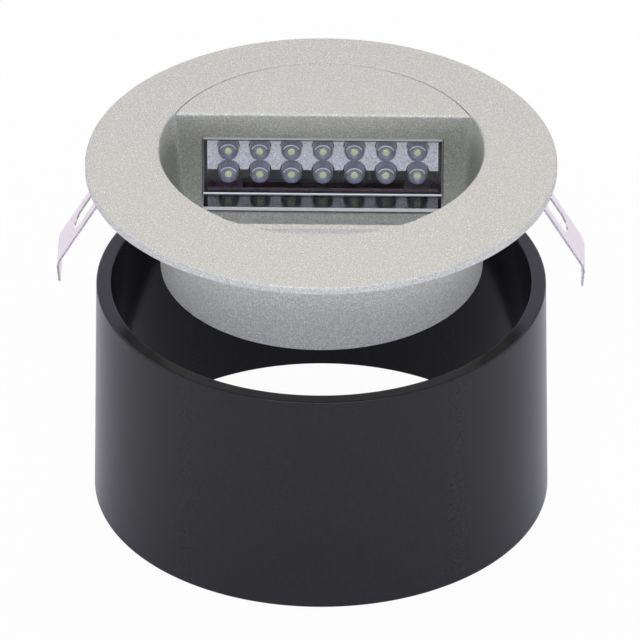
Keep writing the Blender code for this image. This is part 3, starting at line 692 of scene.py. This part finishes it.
@dataclass
class MountingSleeve:
    """Tapered black tube that is set into the ground or wall."""

    layout: Layout
    top_radius: float = 0.05417
    bottom_radius: float = 0.05517
    wall: float = 0.0036
    edge_round: float = 0.0005
    segments: int = 288

    def build(self) -> bpy.types.Object:
        """Sweep the wall's section round the axis with Geometry Nodes.

        Returns:
            The sleeve.
        """
        top = self.layout.sleeve_height
        edge = self.edge_round
        inner_top = self.top_radius - self.wall
        section = arc((self.top_radius - edge, top - edge), edge, 90, 0)
        section += arc((self.bottom_radius - edge, edge), edge, 0, -90)
        section += arc((self.bottom_radius - self.wall + edge, edge), edge, 270, 180)
        section += arc((inner_top + edge, top - edge), edge, 180, 90)
        work = bmesh.new()
        # The sweep carries the section round the ring with its Y pointing down.
        corners = [work.verts.new((radius - self.top_radius, -height, 0)) for radius, height in section]
        for first, second in zip(corners, corners[1:] + corners[:1]):
            work.edges.new((first, second))
        sleeve = new_object("sleeve_tube", mesh_from(work, "sleeve_section"))
        tool = NodeTool("sleeve_sweep", {
            "Radius": self.top_radius, "Segments": self.segments, "Finish": Finish.SLEEVE.material})
        profile = add_node(tool.tree, "GeometryNodeMeshToCurve", {"Mesh": tool.size("Geometry")})
        ring = add_node(tool.tree, "GeometryNodeCurvePrimitiveCircle", {
            "Radius": tool.size("Radius"), "Resolution": tool.size("Segments")})
        tube = add_node(tool.tree, "GeometryNodeCurveToMesh", {
            "Curve": ring.outputs["Curve"], "Profile Curve": profile.outputs["Curve"]})
        tool.run(sleeve, tube.outputs["Mesh"])
        smooth(sleeve)
        hand_over(sleeve, Finish.SLEEVE, "sleeve", ["mounting_sleeve"])
        return sleeve


@dataclass
class FaceCasting:
    """Flange, pocket and can in one die casting.

    The skims are hair-thin offsets that keep the faces of cutters and casting out of one plane, where
    they would leave slivers.
    """

    layout: Layout
    flange_thickness: float = 0.002
    flange_edge_round: float = 0.0005
    can_top_radius: float = 0.04097
    can_bottom_radius: float = 0.03887
    can_edge_round: float = 0.0005
    pocket_radius: float = 0.03897
    pocket_draft: float = 0.0015
    pocket_skim: float = 0.00002
    pocket_edge_round: float = 0.0006
    pocket_floor_round: float = 0.0008
    pocket_corner_round: float = 0.002
    pocket_depth: float = 0.0236
    pocket_floor_thickness: float = 0.002
    far_wall_thickness: float = 0.003
    near_wall_y: float = -0.0266
    lip_radius: float = 0.03957
    lip_depth: float = 0.00095
    lip_ledge_width: float = 0.0025
    lip_edge_round: float = 0.0006
    lip_roll_power: float = 2.2
    lip_skim: float = 0.00001
    hood_thickness: float = 0.0016
    hood_seam: float = 0.00012
    hood_seat_round: float = 0.0003
    hood_seat_arc: Point = (180.0, 95.0)
    cavity_top_radius: float = 0.03647
    cavity_bottom_radius: float = 0.03697
    cover_ledge_depth: float = 0.0302
    cover_recess_radius: float = 0.03797
    window_ledge: float = 0.001
    clip_pad_proud: float = 0.0008
    clip_pad_width: float = 0.0132
    clip_pad_depth: float = 0.0149
    clip_pad_reach: float = 0.0038
    boss_radius: float = 0.0033
    boss_web: float = 0.003
    boss_segments: int = 48
    post_radius: float = 0.0025
    segments: int = 240
    edge_steps: int = 6

    def outline(self, inset: float) -> list[Point]:
        """The pocket's outline: two arcs of one circle between the near and the far wall.

        Args:
            inset: how far inside the pocket's edge it lies.

        Returns:
            The outline's points.
        """
        offset = self.layout.can_offset
        radius = self.pocket_radius - inset
        near = self.near_wall_y + inset - offset
        corner_y = self.layout.far_wall_y - self.pocket_corner_round - offset
        corner_x = math.sqrt((radius - self.pocket_corner_round) ** 2 - corner_y ** 2)
        start = math.degrees(math.asin(near / radius))
        tangent = math.degrees(math.atan2(corner_y, corner_x))
        half = arc((0, offset), radius, start, tangent, self.segments // 4)
        half += arc((corner_x, corner_y + offset), self.pocket_corner_round, tangent, 90,
                    self.edge_steps)[1:]
        return half + [(-x, y) for x, y in reversed(half)]

    def pocket(self) -> bpy.types.Object:
        """The pocket's hollow: flared edge, drafted walls and rounded foot.

        Returns:
            The cutter.
        """
        top = self.layout.flange_top
        edge = self.pocket_edge_round
        foot = self.pocket_floor_round
        levels = [(-edge, -OVERRUN)]
        for step in range(self.edge_steps + 1):
            angle = math.pi / 2 * step / self.edge_steps
            levels.append((-edge * (1 - math.sin(angle)), edge * (1 - math.cos(angle)) - self.pocket_skim))
        for step in range(self.edge_steps + 1):
            angle = math.pi / 2 * step / self.edge_steps
            inset = self.pocket_draft + foot * (1 - math.cos(angle))
            levels.append((inset, self.pocket_depth - foot * (1 - math.sin(angle))))
        rings = [[(x, y, top - depth) for x, y in self.outline(inset)] for inset, depth in levels]
        return loft("pocket_hollow", rings)

    def lip(self) -> bpy.types.Object:
        """What is taken away between the near wall and the pocket's edge: a ledge, and a soft ramp.

        Returns:
            The cutter.
        """
        top = self.layout.flange_top
        offset = self.layout.can_offset
        reach = self.lip_radius + OVERRUN
        foot = self.near_wall_y - self.lip_ledge_width
        end = offset - self.lip_radius
        low = top - self.lip_depth - OVERRUN
        cutter = turned("lip_hollow", [(self.lip_radius, low), (self.lip_radius, top + OVERRUN)],
                        self.segments, (0, offset))
        edge = self.lip_edge_round
        near_side = box("near_side", (-reach, offset - reach - OVERRUN, low),
                        (reach, self.near_wall_y + edge, top + 2 * OVERRUN))
        section = [(end - OVERRUN, top - self.lip_skim)]
        steps = 4 * self.edge_steps
        for step in range(steps + 1):
            share = step / steps
            fall = self.lip_depth * share ** self.lip_roll_power
            section.append((end + (foot - end) * share, top - self.lip_skim - fall))
        level = section[-1][1] - self.lip_skim
        section.append((foot + self.lip_skim, level))
        section += [(y, z - self.lip_skim)
                    for y, z in arc((self.near_wall_y - edge, level - edge), edge, 90, 0)]
        section += [(self.near_wall_y, low - OVERRUN), (end - OVERRUN, low - OVERRUN)]
        ramp = extruded("lip_ramp", section, -reach, reach)
        carve(cutter, [(near_side, "INTERSECT"), (ramp, "DIFFERENCE")])
        return cutter

    def hood_seat(self) -> bpy.types.Object:
        """The opening that the hood closes.

        Returns:
            The cutter.
        """
        layout = self.layout
        radius = layout.hood_radius + self.hood_seam
        low = layout.flange_top - self.hood_thickness - SEAT_GAP
        edge = self.hood_seat_round
        profile = [(radius, low), (radius, layout.flange_top - edge)]
        profile += arc((radius + edge, layout.flange_top - edge), edge, *self.hood_seat_arc,
                       self.edge_steps)[1:]
        profile.append((radius + edge, layout.flange_top + OVERRUN))
        cutter = turned("hood_opening", profile, self.segments, (0, layout.can_offset))
        reach = radius + OVERRUN
        far_side = box("far_side", (-reach, layout.far_wall_y - CLEAN_CUT, low - OVERRUN),
                       (reach, layout.can_offset + reach, layout.flange_top + 2 * OVERRUN))
        carve(cutter, [(far_side, "INTERSECT")])
        return cutter

    def compartment(self) -> bpy.types.Object:
        """The lamp and driver compartment, open to the back.

        Returns:
            The cutter.
        """
        layout = self.layout
        top = layout.flange_top
        ledge = top - self.cover_ledge_depth
        profile = [(self.cover_recess_radius, layout.can_bottom - OVERRUN),
                   (self.cover_recess_radius, ledge), (self.cavity_bottom_radius, ledge),
                   (self.cavity_top_radius, top - self.hood_thickness)]
        cutter = turned("compartment", profile, self.segments, (0, layout.can_offset))
        reach = self.can_top_radius + OVERRUN
        under = top - self.pocket_depth - self.pocket_floor_thickness
        kept = box("pocket_shell", (-reach, layout.can_offset - reach, under),
                   (reach, layout.far_wall_y + self.far_wall_thickness, top + OVERRUN))
        carve(cutter, [(kept, "DIFFERENCE")])
        return cutter

    def window_cutters(self) -> list[tuple[bpy.types.Object, str]]:
        """The rebate that the clear cover sits in, and the opening behind it.

        Returns:
            Both cutters with their operations.
        """
        low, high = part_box("window_cover")
        gasket_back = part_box("window_gasket")[1].y
        wall_y = self.layout.far_wall_y
        half = high.x + SEAT_GAP
        floor = self.layout.flange_top - self.pocket_depth
        rebate = box("window_rebate", (-half, wall_y - OVERRUN, floor - CLEAN_CUT),
                     (half, gasket_back + SEAT_GAP, high.z + SEAT_GAP))
        half = high.x - self.window_ledge
        opening = box("window_opening", (-half, gasket_back - CLEAN_CUT, low.z + self.window_ledge),
                      (half, wall_y + self.far_wall_thickness + OVERRUN, high.z - self.window_ledge))
        return [(rebate, "DIFFERENCE"), (opening, "DIFFERENCE")]

    def bosses(self) -> list[tuple[bpy.types.Object, str]]:
        """The bosses for the cover's screws with their webs, and the driver board's posts.

        Returns:
            The shapes with their operations.
        """
        layout = self.layout
        roof = layout.flange_top - self.pocket_depth - self.pocket_floor_thickness / 2
        ledge = layout.flange_top - self.cover_ledge_depth
        screws = [(name, "back_cover", self.boss_radius) for name in COVER_SCREWS]
        screws += [(name, "driver_board", self.post_radius) for name in BOARD_SCREWS]
        steps = []
        for screw, seat, radius in screws:
            x, y, _ = node_middle(screw)
            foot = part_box(seat)[1].z + SEAT_GAP
            post = rod("screw_post", radius, (x, y, foot), (x, y, roof), self.boss_segments)
            steps.append((post, "UNION"))
            if seat == "back_cover":
                length = self.cover_recess_radius - math.hypot(x, y - layout.can_offset)
                web = box("boss_web", (0, -self.boss_web / 2, ledge + SEAT_GAP),
                          (length, self.boss_web / 2, roof - SEAT_GAP))
                turn = Matrix.Rotation(math.atan2(y - layout.can_offset, x), 4, "Z")
                web.data.transform(Matrix.Translation((x, y, 0)) @ turn)
                steps.append((web, "UNION"))
        return steps

    def paint(self, casting: bpy.types.Object) -> None:
        """Coat what shows, and give the faces inside the compartment a dark painted shade.

        Args:
            casting: the casting.
        """
        layout = self.layout
        top = layout.flange_top
        dress(casting, Finish.COAT, Finish.INSIDE)
        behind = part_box("window_gasket")[0].y
        under = top - self.pocket_depth - self.pocket_floor_thickness + SEAT_GAP
        for face in casting.data.polygons:
            at = face.center
            from_axis = math.hypot(at.x, at.y - layout.can_offset)
            within = from_axis < self.cover_recess_radius + SEAT_GAP and at.z < top - self.hood_thickness
            # Faces inside the compartment take the painted shade.
            face.material_index = int(within and (at.y > behind or at.z < under))

    def build(self) -> bpy.types.Object:
        """Make the casting.

        Returns:
            The casting.
        """
        layout = self.layout
        top = layout.flange_top
        edge = self.flange_edge_round
        profile = arc((layout.flange_radius - edge, top - edge), edge, 90, 0)
        profile += arc((layout.flange_radius - edge / 2, top - self.flange_thickness + edge / 2),
                       edge / 2, 0, -90)
        casting = turned("face_shell", profile, self.segments)
        edge = self.can_edge_round
        profile = [(self.can_top_radius, top - self.flange_thickness / 2)]
        profile += arc((self.can_bottom_radius - edge, layout.can_bottom + edge), edge, 0, -90)
        steps = [(turned("can_body", profile, self.segments, (0, layout.can_offset)), "UNION")]
        face = self.can_top_radius + self.clip_pad_proud
        for side in (-1, 1):
            ends = sorted((side * (face - self.clip_pad_reach), side * face))
            pad = box("clip_pad", (ends[0], -self.clip_pad_width / 2, top - self.clip_pad_depth),
                      (ends[1], self.clip_pad_width / 2, top - self.flange_thickness / 2))
            steps.append((pad, "UNION"))
        cutters = (self.pocket(), self.lip(), self.hood_seat(), self.compartment())
        steps += [(cutter, "DIFFERENCE") for cutter in cutters]
        steps += self.window_cutters() + self.bosses()
        carve(casting, steps)
        smooth(casting)
        self.paint(casting)
        hand_over(casting, Finish.COAT, "light", ["face_casting"])
        return casting


@dataclass
class Hood:
    """Half-round plate over the lamps, with a skirt that locates it."""

    layout: Layout
    edge_round: float = 0.00025
    front_round: float = 0.0006
    front_arc: Point = (180.0, 93.0)
    thickness: float = 0.00188
    skirt_wall: float = 0.0011
    skirt_clearance: float = 0.0022
    segments: int = 240

    def build(self) -> bpy.types.Object:
        """Make the hood.

        Returns:
            The hood.
        """
        layout = self.layout
        top = layout.flange_top
        edge = self.edge_round
        radius = layout.hood_radius
        under = top - self.thickness
        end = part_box("hood")[0].z
        outer = radius - self.skirt_clearance
        centre = (0, layout.can_offset)
        plate = turned("hood_plate", arc((radius - edge, top - edge), edge, 90, 0) + [(radius, under)],
                       self.segments, centre)
        inner = outer - self.skirt_wall
        profile = [(outer, under + edge), (outer, end), (inner, end), (inner, under + edge)]
        skirt = turned("hood_skirt", profile, self.segments, centre, closed=True)
        reach = radius + OVERRUN
        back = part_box("led_holder")[1].y + SEAT_GAP
        front_skirt = box("skirt_front", (-reach, layout.can_offset - reach, end - OVERRUN),
                          (reach, back, under))
        nose = self.front_round
        section = arc((layout.far_wall_y + nose, top - nose), nose, *self.front_arc)
        section += [(section[-1][0], top + OVERRUN), (layout.can_offset + reach, top + OVERRUN),
                    (layout.can_offset + reach, end - OVERRUN), (layout.far_wall_y, end - OVERRUN)]
        behind = extruded("hood_front", section, -reach, reach)
        carve(plate, [(skirt, "UNION"), (front_skirt, "DIFFERENCE"), (behind, "INTERSECT")])
        smooth(plate)
        hand_over(plate, Finish.COAT, "light", ["hood"])
        return plate


@dataclass
class WindowCover:
    """Clear L of acrylic sheet in front of the lamps.

    Its skim tells the faces of the bend from the flat ones beside them.
    """

    thickness: float = 0.0011
    foot_thickness: float = 0.001
    bend_round: float = 0.0003
    corner_round: float = 0.00015
    skim: float = 0.000005
    strip_margin: float = 0.0002
    strip_gap: float = 0.00005
    strip_thickness: float = 0.0001

    def build(self) -> bpy.types.Object:
        """Extrude the bent section between its ends.

        Returns:
            The cover.
        """
        low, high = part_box("window_cover")
        front = high.y - self.thickness
        foot_top = low.z + self.foot_thickness
        bend = self.bend_round
        section = [(high.y, high.z), (high.y, low.z), (low.y, low.z), (low.y, foot_top)]
        section += arc((front - bend, foot_top + bend), bend, 270, 360)
        section.append((front, high.z))
        cover = extruded("window_sheet", section, low.x, high.x)
        smooth(cover, bevel=self.corner_round)
        dress(cover, Finish.CLEAR, Finish.SAWN, Finish.CREASE)
        rind = self.corner_round / 2
        for face in cover.data.polygons:
            at = face.center
            sawn = (at.x < low.x + rind, at.x > high.x - rind, at.z > high.z - rind, at.y < low.y + rind)
            # Faces of the bend take the painted highlight.
            bent = front - bend < at.y < front - self.skim and foot_top + self.skim < at.z < foot_top + bend
            face.material_index = 1 if any(sawn) else 2 * int(bent)
        hand_over(cover, Finish.CLEAR, "light", ["window_cover"])
        # A mirror film under the foot, dark red-brown as painted shade.
        edge = self.strip_margin
        strip_top = low.z - self.strip_gap
        strip = box("foot_reflector", (low.x + edge, low.y + edge, strip_top - self.strip_thickness),
                    (high.x - edge, front, strip_top))
        dress(strip, Finish.MIRROR)
        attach(strip, "light")
        report(strip, "light")
        return cover


@dataclass
class LampRows:
    """Fourteen clear lamps in two rows, each with its cup, a painted highlight along the cup's upper rim,
    and its chip.

    The parts of one lamp are made upright, laid along Y with their tips to the window, and repeated.
    """

    columns: int = 7
    rows: int = 2
    radius: float = 0.0025
    base_rim_radius: float = 0.0029
    base_rim_height: float = 0.001
    dome_arc: Point = (0.0, 88.0)
    dome_steps: int = 14
    cup_radius: float = 0.0016
    cup_depth: float = 0.0008
    cup_lead: float = 0.0013
    cup_wall: float = 0.0002
    cup_segments: int = 32
    chip_radius: float = 0.00062
    chip_crown_share: float = 0.5
    chip_crown_arc: Point = (0.0, 85.0)
    chip_crown_steps: int = 6
    chip_play: float = 0.98
    chip_segments: int = 24
    lead_height: float = 0.002
    highlight_radius: float = 0.00178
    highlight_wire: float = 0.00011
    highlight_sides: int = 8
    highlight_set_back: float = 0.0005
    highlight_span: Point = (22.0, 158.0)
    segments: int = 48
    base: float = field(init=False)
    shoulder: float = field(init=False)
    cup_top: float = field(init=False)
    cup_floor: float = field(init=False)

    def __post_init__(self) -> None:
        """Read where the lamps stand, and place the cup in them."""
        low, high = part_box("led_01")
        self.base = high.y
        self.shoulder = high.y - low.y - self.radius
        self.cup_top = self.shoulder + self.cup_lead
        self.cup_floor = self.cup_top - self.cup_depth

    def repeat(self, item: bpy.types.Object, finish: Finish) -> None:
        """Repeat one lamp's part in columns and rows, with Geometry Nodes.

        Args:
            item: the part, centred on the middle of the grid.
            finish: its finish.
        """
        first, second, below = node_middle("led_01"), node_middle("led_02"), node_middle("led_08")
        tool = NodeTool(f"{item.name}_grid", {
            "Columns": self.columns, "Rows": self.rows, "Width": (second.x - first.x) * (self.columns - 1),
            "Height": (first.z - below.z) * (self.rows - 1), "Centre": (0.0, 0.0, (first.z + below.z) / 2),
            "Turn": (math.pi / 2, 0.0, 0.0), "Finish": finish.material})
        grid = add_node(tool.tree, "GeometryNodeMeshGrid", {
            "Size X": tool.size("Width"), "Size Y": tool.size("Height"),
            "Vertices X": tool.size("Columns"), "Vertices Y": tool.size("Rows")})
        upright = add_node(tool.tree, "GeometryNodeTransform", {
            "Geometry": grid.outputs["Mesh"], "Translation": tool.size("Centre"),
            "Rotation": tool.size("Turn")})
        copies = add_node(tool.tree, "GeometryNodeInstanceOnPoints", {
            "Points": upright.outputs["Geometry"], "Instance": tool.size("Geometry")})
        tool.run(item, copies.outputs["Instances"])

    def lay_and_repeat(self, item: bpy.types.Object, finish: Finish) -> bpy.types.Object:
        """Lay an upright part along Y with its tip to the window, and repeat it.

        Args:
            item: the part, made with the lamp's base at height zero.
            finish: its finish.

        Returns:
            The same object, now all fourteen.
        """
        turn = Matrix.Rotation(math.pi / 2, 4, "X")
        item.data.transform(Matrix.Translation((0, self.base, 0)) @ turn)
        self.repeat(item, finish)
        return item

    def resin(self) -> bpy.types.Object:
        """The clear bodies: a rim, a barrel and a dome.

        Returns:
            The bodies.
        """
        rim, height = self.base_rim_radius, self.base_rim_height
        profile = [(rim, 0), (rim, height), (self.radius, height)]
        profile += arc((0, self.shoulder), self.radius, *self.dome_arc, self.dome_steps)
        return self.lay_and_repeat(turned("lamp_resin", profile, self.segments), Finish.EPOXY)

    def cups(self) -> bpy.types.Object:
        """The reflector cups, each on its lead.

        Returns:
            The cups.
        """
        foot, floor, top = self.lead_height, self.cup_floor, self.cup_top
        profile = [(self.cup_radius + self.cup_wall, top), (self.chip_radius + self.cup_wall, foot),
                   (self.chip_radius, foot), (self.chip_radius, floor), (self.cup_radius, top)]
        return self.lay_and_repeat(turned("lamp_cups", profile, self.cup_segments, closed=True), Finish.CUP)

    def chips(self) -> bpy.types.Object:
        """The chips: a low crown of phosphor on each cup's floor.

        Returns:
            The chips.
        """
        floor, play = self.cup_floor, self.chip_play
        crown = arc((0, floor), self.chip_radius, *self.chip_crown_arc, self.chip_crown_steps)
        profile = [(self.chip_radius * play, floor - self.cup_depth)]
        profile += [(r * play, floor + (z - floor) * self.chip_crown_share) for r, z in crown]
        return self.lay_and_repeat(turned("lamp_chips", profile, self.chip_segments), Finish.CHIP)

    def cup_rim_highlights(self) -> bpy.types.Object:
        """A painted highlight over each lamp: a glowing wire along the upper half of its cup's rim.

        Returns:
            The highlight arcs.
        """
        y = self.base - self.cup_top + self.highlight_set_back
        sides = self.highlight_sides
        wire = arc((0, 0), self.highlight_wire, 0, 360 - 360 / sides, sides - 1)
        rings = []
        for x, z in arc((0, 0), self.highlight_radius, *self.highlight_span, self.segments // 2):
            centre, out = Vector((x, y, z)), Vector((x, 0, z)).normalized()
            rings.append([tuple(centre + out * across - Vector((0, along, 0))) for across, along in wire])
        highlight_arcs = loft("lamp_cup_rims", rings)
        self.repeat(highlight_arcs, Finish.GLINT)
        return highlight_arcs

    def build(self) -> None:
        """Make the lamps."""
        resin, cups, chips, highlight_arcs = self.resin(), self.cups(), self.chips(), self.cup_rim_highlights()
        for item in (resin, cups, highlight_arcs):
            smooth(item)
        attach(highlight_arcs, "light")
        report(highlight_arcs, "light")
        numbers = [f"led_{number:02d}" for number in range(1, self.columns * self.rows + 1)]
        for item, finish in ((resin, Finish.EPOXY), (cups, Finish.CUP), (chips, Finish.CHIP)):
            hand_over(item, finish, "light", numbers)


class Side(Enum):
    """The light's two ends, seen from the lamps' side."""

    LEFT = -1
    RIGHT = 1


@dataclass
class SpringClip:
    """One clip of polished strip: its base under the flange and the leg that grips the bore.

    The strip's sheared edges, which face along its width, are darker than its polished faces. In the bore
    the leg is pressed flat against the can as the light goes down; here it keeps its shape, on a body of
    its own.
    """

    side: Side
    pressed_share: float = 0.03
    edge_facing: float = 0.7

    def build(self) -> None:
        """Dress the clip's two pieces."""
        word = self.side.name.lower()
        for part in ("base", "leg"):
            node = bpy.data.objects[f"clip_{part}_{word}"]
            copy = new_object(f"clip_{part}_strip_{word}", node.data.copy())
            work = bmesh.new()
            work.from_mesh(copy.data)
            bmesh.ops.remove_doubles(work, verts=work.verts, dist=MERGE)
            work.to_mesh(copy.data)
            work.free()
            dress(copy, Finish.SPRING, Finish.SHEARED)
            for face in copy.data.polygons:
                face.material_index = int(abs(face.normal.y) > self.edge_facing)
            smooth(copy)
            body = "light" if part == "base" else f"clip_{word}"
            hand_over(copy, Finish.SPRING, body, [node.name])
            if part == "leg":
                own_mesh(copy)


@dataclass
class CarriedNodes:
    """Frame nodes whose shape is right: they keep it and take a finish."""

    finishes: dict[Finish, list[str]] = field(default_factory=lambda: {
        Finish.COAT: ["back_cover"],
        Finish.HOLDER: ["led_holder"],
        Finish.LAMP_BOARD: ["led_board"],
        Finish.DRIVER_BOARD: ["driver_board"],
        Finish.FILM: ["film_capacitor"],
        Finish.CAPACITOR_SLEEVE: ["smoothing_capacitor"],
        Finish.RECTIFIER: ["bridge_rectifier"],
        Finish.RESISTOR: ["dropper_resistor"],
        Finish.TERMINAL: ["terminal_block"],
        Finish.BEAD: ["window_gasket"],
        Finish.RUBBER: ["flange_gasket", "cover_gasket", "gland_seal"],
        Finish.NYLON: ["gland_body", "gland_cap", "gland_nut"],
        Finish.PLATED: [*COVER_SCREWS, *BOARD_SCREWS, "holder_screw_left", "holder_screw_right",
                        "clip_rivet_left", "clip_rivet_right"],
    })

    def build(self) -> None:
        """Give each node its finish."""
        for finish, names in self.finishes.items():
            for name in names:
                dress(bpy.data.objects[name], finish)
            log.info("%s on %s", finish.value.name, ", ".join(names))


@dataclass(frozen=True)
class Softbox:
    """A soft lamp that faces the light: its place, width, height, power in watts and colour."""

    name: str
    place: Place
    width: float
    height: float
    power: float
    tint: str


@dataclass
class Studio:
    """White table, soft light and the photograph's camera."""

    layout: Layout
    distance: float = 2.5
    elevation: float = math.radians(32.0)
    azimuth: float = math.radians(1.0)
    pixels: int = 640
    focal_pixels: float = 10455.0
    sensor_mm: float = 36.0
    flange_centre_pixel: Point = (321.16, 160.46)
    table_size: float = 6.0
    table_thickness: float = 0.02
    table_paper: str = "e6e6e6"
    # The world's light from the horizon and from overhead, and where one fades to the other.
    daylight: Point = (9.0, 0.05)
    horizon_band: Point = (0.1, 0.2)
    # What is seen of it behind the camera and beyond the object, and where one fades to the other.
    backdrop_light: Point = (0.6, 1.0)
    backdrop_band: Point = (-0.9, -0.2)
    sky_tint: str = "ebeaff"
    table_seen: float = 0.97
    table_shade: float = 0.04
    table_light: float = 0.3
    softboxes: tuple[Softbox, ...] = (
        Softbox("key_softbox", (0.0, 0.7, 1.2), width=0.8, height=0.8, power=3.7, tint="fff2dc"),
        Softbox("front_strip", (0.0, -1.0, 1.1), width=1.3, height=0.1, power=5.2, tint="e2e6ff"))

    def camera(self) -> None:
        """Place the camera so that the flange's centre falls on its pixel."""
        centre = Vector((0, 0, self.layout.flange_top))
        level = math.cos(self.elevation)
        back = Vector((math.sin(self.azimuth) * level, -math.cos(self.azimuth) * level,
                       math.sin(self.elevation)))
        data = bpy.data.cameras.new("photograph_camera")
        data.sensor_width = self.sensor_mm
        data.lens = self.focal_pixels * self.sensor_mm / self.pixels
        camera = new_object("photograph_camera", data)
        camera.location = centre + back * self.distance
        column, row = self.flange_centre_pixel
        right = (column - self.pixels / 2) / self.focal_pixels
        up = (self.pixels / 2 - row) / self.focal_pixels
        facing = (-back).to_track_quat("-Z", "Y").to_matrix()
        turn = Matrix.Rotation(math.atan(right), 3, "Y") @ Matrix.Rotation(-math.atan(up), 3, "X")
        camera.rotation_euler = (facing @ turn).to_euler()
        bpy.context.scene.camera = camera

    def world(self) -> None:
        """White behind the object and in reflections, and a bright low horizon for plain light."""
        world = bpy.data.worlds.new("white_studio")
        world.use_nodes = True
        tree = world.node_tree
        tree.nodes.clear()
        rays = add_node(tree, "ShaderNodeLightPath")
        seen = add_node(tree, "ShaderNodeMath", {
            0: rays.outputs["Is Camera Ray"], 1: rays.outputs["Is Glossy Ray"]}, operation="MAXIMUM")
        seen_all = add_node(tree, "ShaderNodeMath", {
            0: seen.outputs[0], 1: rays.outputs["Is Transmission Ray"]}, operation="MAXIMUM")
        way = add_node(tree, "ShaderNodeTexCoord").outputs["Generated"]
        parts = add_node(tree, "ShaderNodeSeparateXYZ", {"Vector": way})
        levels = []
        for axis, band, light in (("Z", self.horizon_band, self.daylight),
                                  ("Y", self.backdrop_band, self.backdrop_light)):
            level = add_node(tree, "ShaderNodeMapRange", {
                "Value": parts.outputs[axis], "From Min": band[0], "From Max": band[1],
                "To Min": light[0], "To Max": light[1]}, interpolation_type="SMOOTHSTEP")
            levels.append(level.outputs["Result"])
        strength = add_node(tree, "ShaderNodeMix", {
            "Factor": seen_all.outputs[0], "A": levels[0], "B": levels[1]})
        tint = add_node(tree, "ShaderNodeMix", {
            "Factor": rays.outputs["Is Camera Ray"], "A": linear(self.sky_tint), "B": linear(WHITE)},
            data_type="RGBA")
        light = add_node(tree, "ShaderNodeBackground", {
            "Color": tint.outputs["Result"], "Strength": strength.outputs["Result"]})
        add_node(tree, "ShaderNodeOutputWorld", {"Surface": light.outputs["Background"]})
        bpy.context.scene.world = world

    def table(self) -> None:
        """A white table that stays white to the camera apart from a faint shadow."""
        half = self.table_size / 2
        table = box("table", (-half, -half, -self.table_thickness), (half, half, 0))
        material, tree = new_material("white_paper")
        rays = add_node(tree, "ShaderNodeLightPath")
        glow = add_node(tree, "ShaderNodeEmission", {"Color": linear(WHITE), "Strength": self.table_seen})
        faint = add_node(tree, "ShaderNodeBsdfDiffuse", {"Color": (self.table_shade,) * 3 + (1.0,)})
        shown = add_node(tree, "ShaderNodeAddShader", {0: glow.outputs[0], 1: faint.outputs[0]})
        white = add_node(tree, "ShaderNodeBsdfDiffuse", {"Color": linear(self.table_paper)})
        lit = add_node(tree, "ShaderNodeEmission", {
            "Color": linear(self.sky_tint), "Strength": self.table_light})
        paper = add_node(tree, "ShaderNodeAddShader", {0: white.outputs[0], 1: lit.outputs[0]})
        mix = add_node(tree, "ShaderNodeMixShader", {
            0: rays.outputs["Is Camera Ray"], 1: paper.outputs[0], 2: shown.outputs[0]})
        add_node(tree, "ShaderNodeOutputMaterial", {"Surface": mix.outputs[0]})
        table.data.materials.append(material)

    def lamp(self, softbox: Softbox) -> None:
        """Hang a soft lamp.

        Args:
            softbox: the lamp.
        """
        data = bpy.data.lights.new(softbox.name, "AREA")
        data.shape = "RECTANGLE"
        data.size, data.size_y = softbox.width, softbox.height
        data.energy = softbox.power
        data.color = linear(softbox.tint)[:3]
        item = new_object(softbox.name, data)
        item.location = softbox.place
        aim = Vector((0, 0, self.layout.flange_top)) - Vector(softbox.place)
        item.rotation_euler = aim.to_track_quat("-Z", "Y").to_euler()

    def build(self) -> None:
        """Make the studio."""
        bpy.context.scene.view_settings.view_transform = "Standard"
        self.camera()
        self.world()
        self.table()
        for softbox in self.softboxes:
            self.lamp(softbox)


def main() -> None:
    """Build every sub-assembly round the frame; each piece notes its faces in the log."""
    logging.basicConfig(level=logging.INFO, format="%(message)s")
    for item in list(bpy.data.objects):
        bpy.data.objects.remove(item, do_unlink=True)
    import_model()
    layout = Layout()
    Studio(layout).build()
    MountingSleeve(layout).build()
    FaceCasting(layout).build()
    Hood(layout).build()
    WindowCover().build()
    LampRows().build()
    for side in Side:
        SpringClip(side).build()
    CarriedNodes().build()
    bpy.context.view_layer.update()


if __name__ == "__main__":
    main()
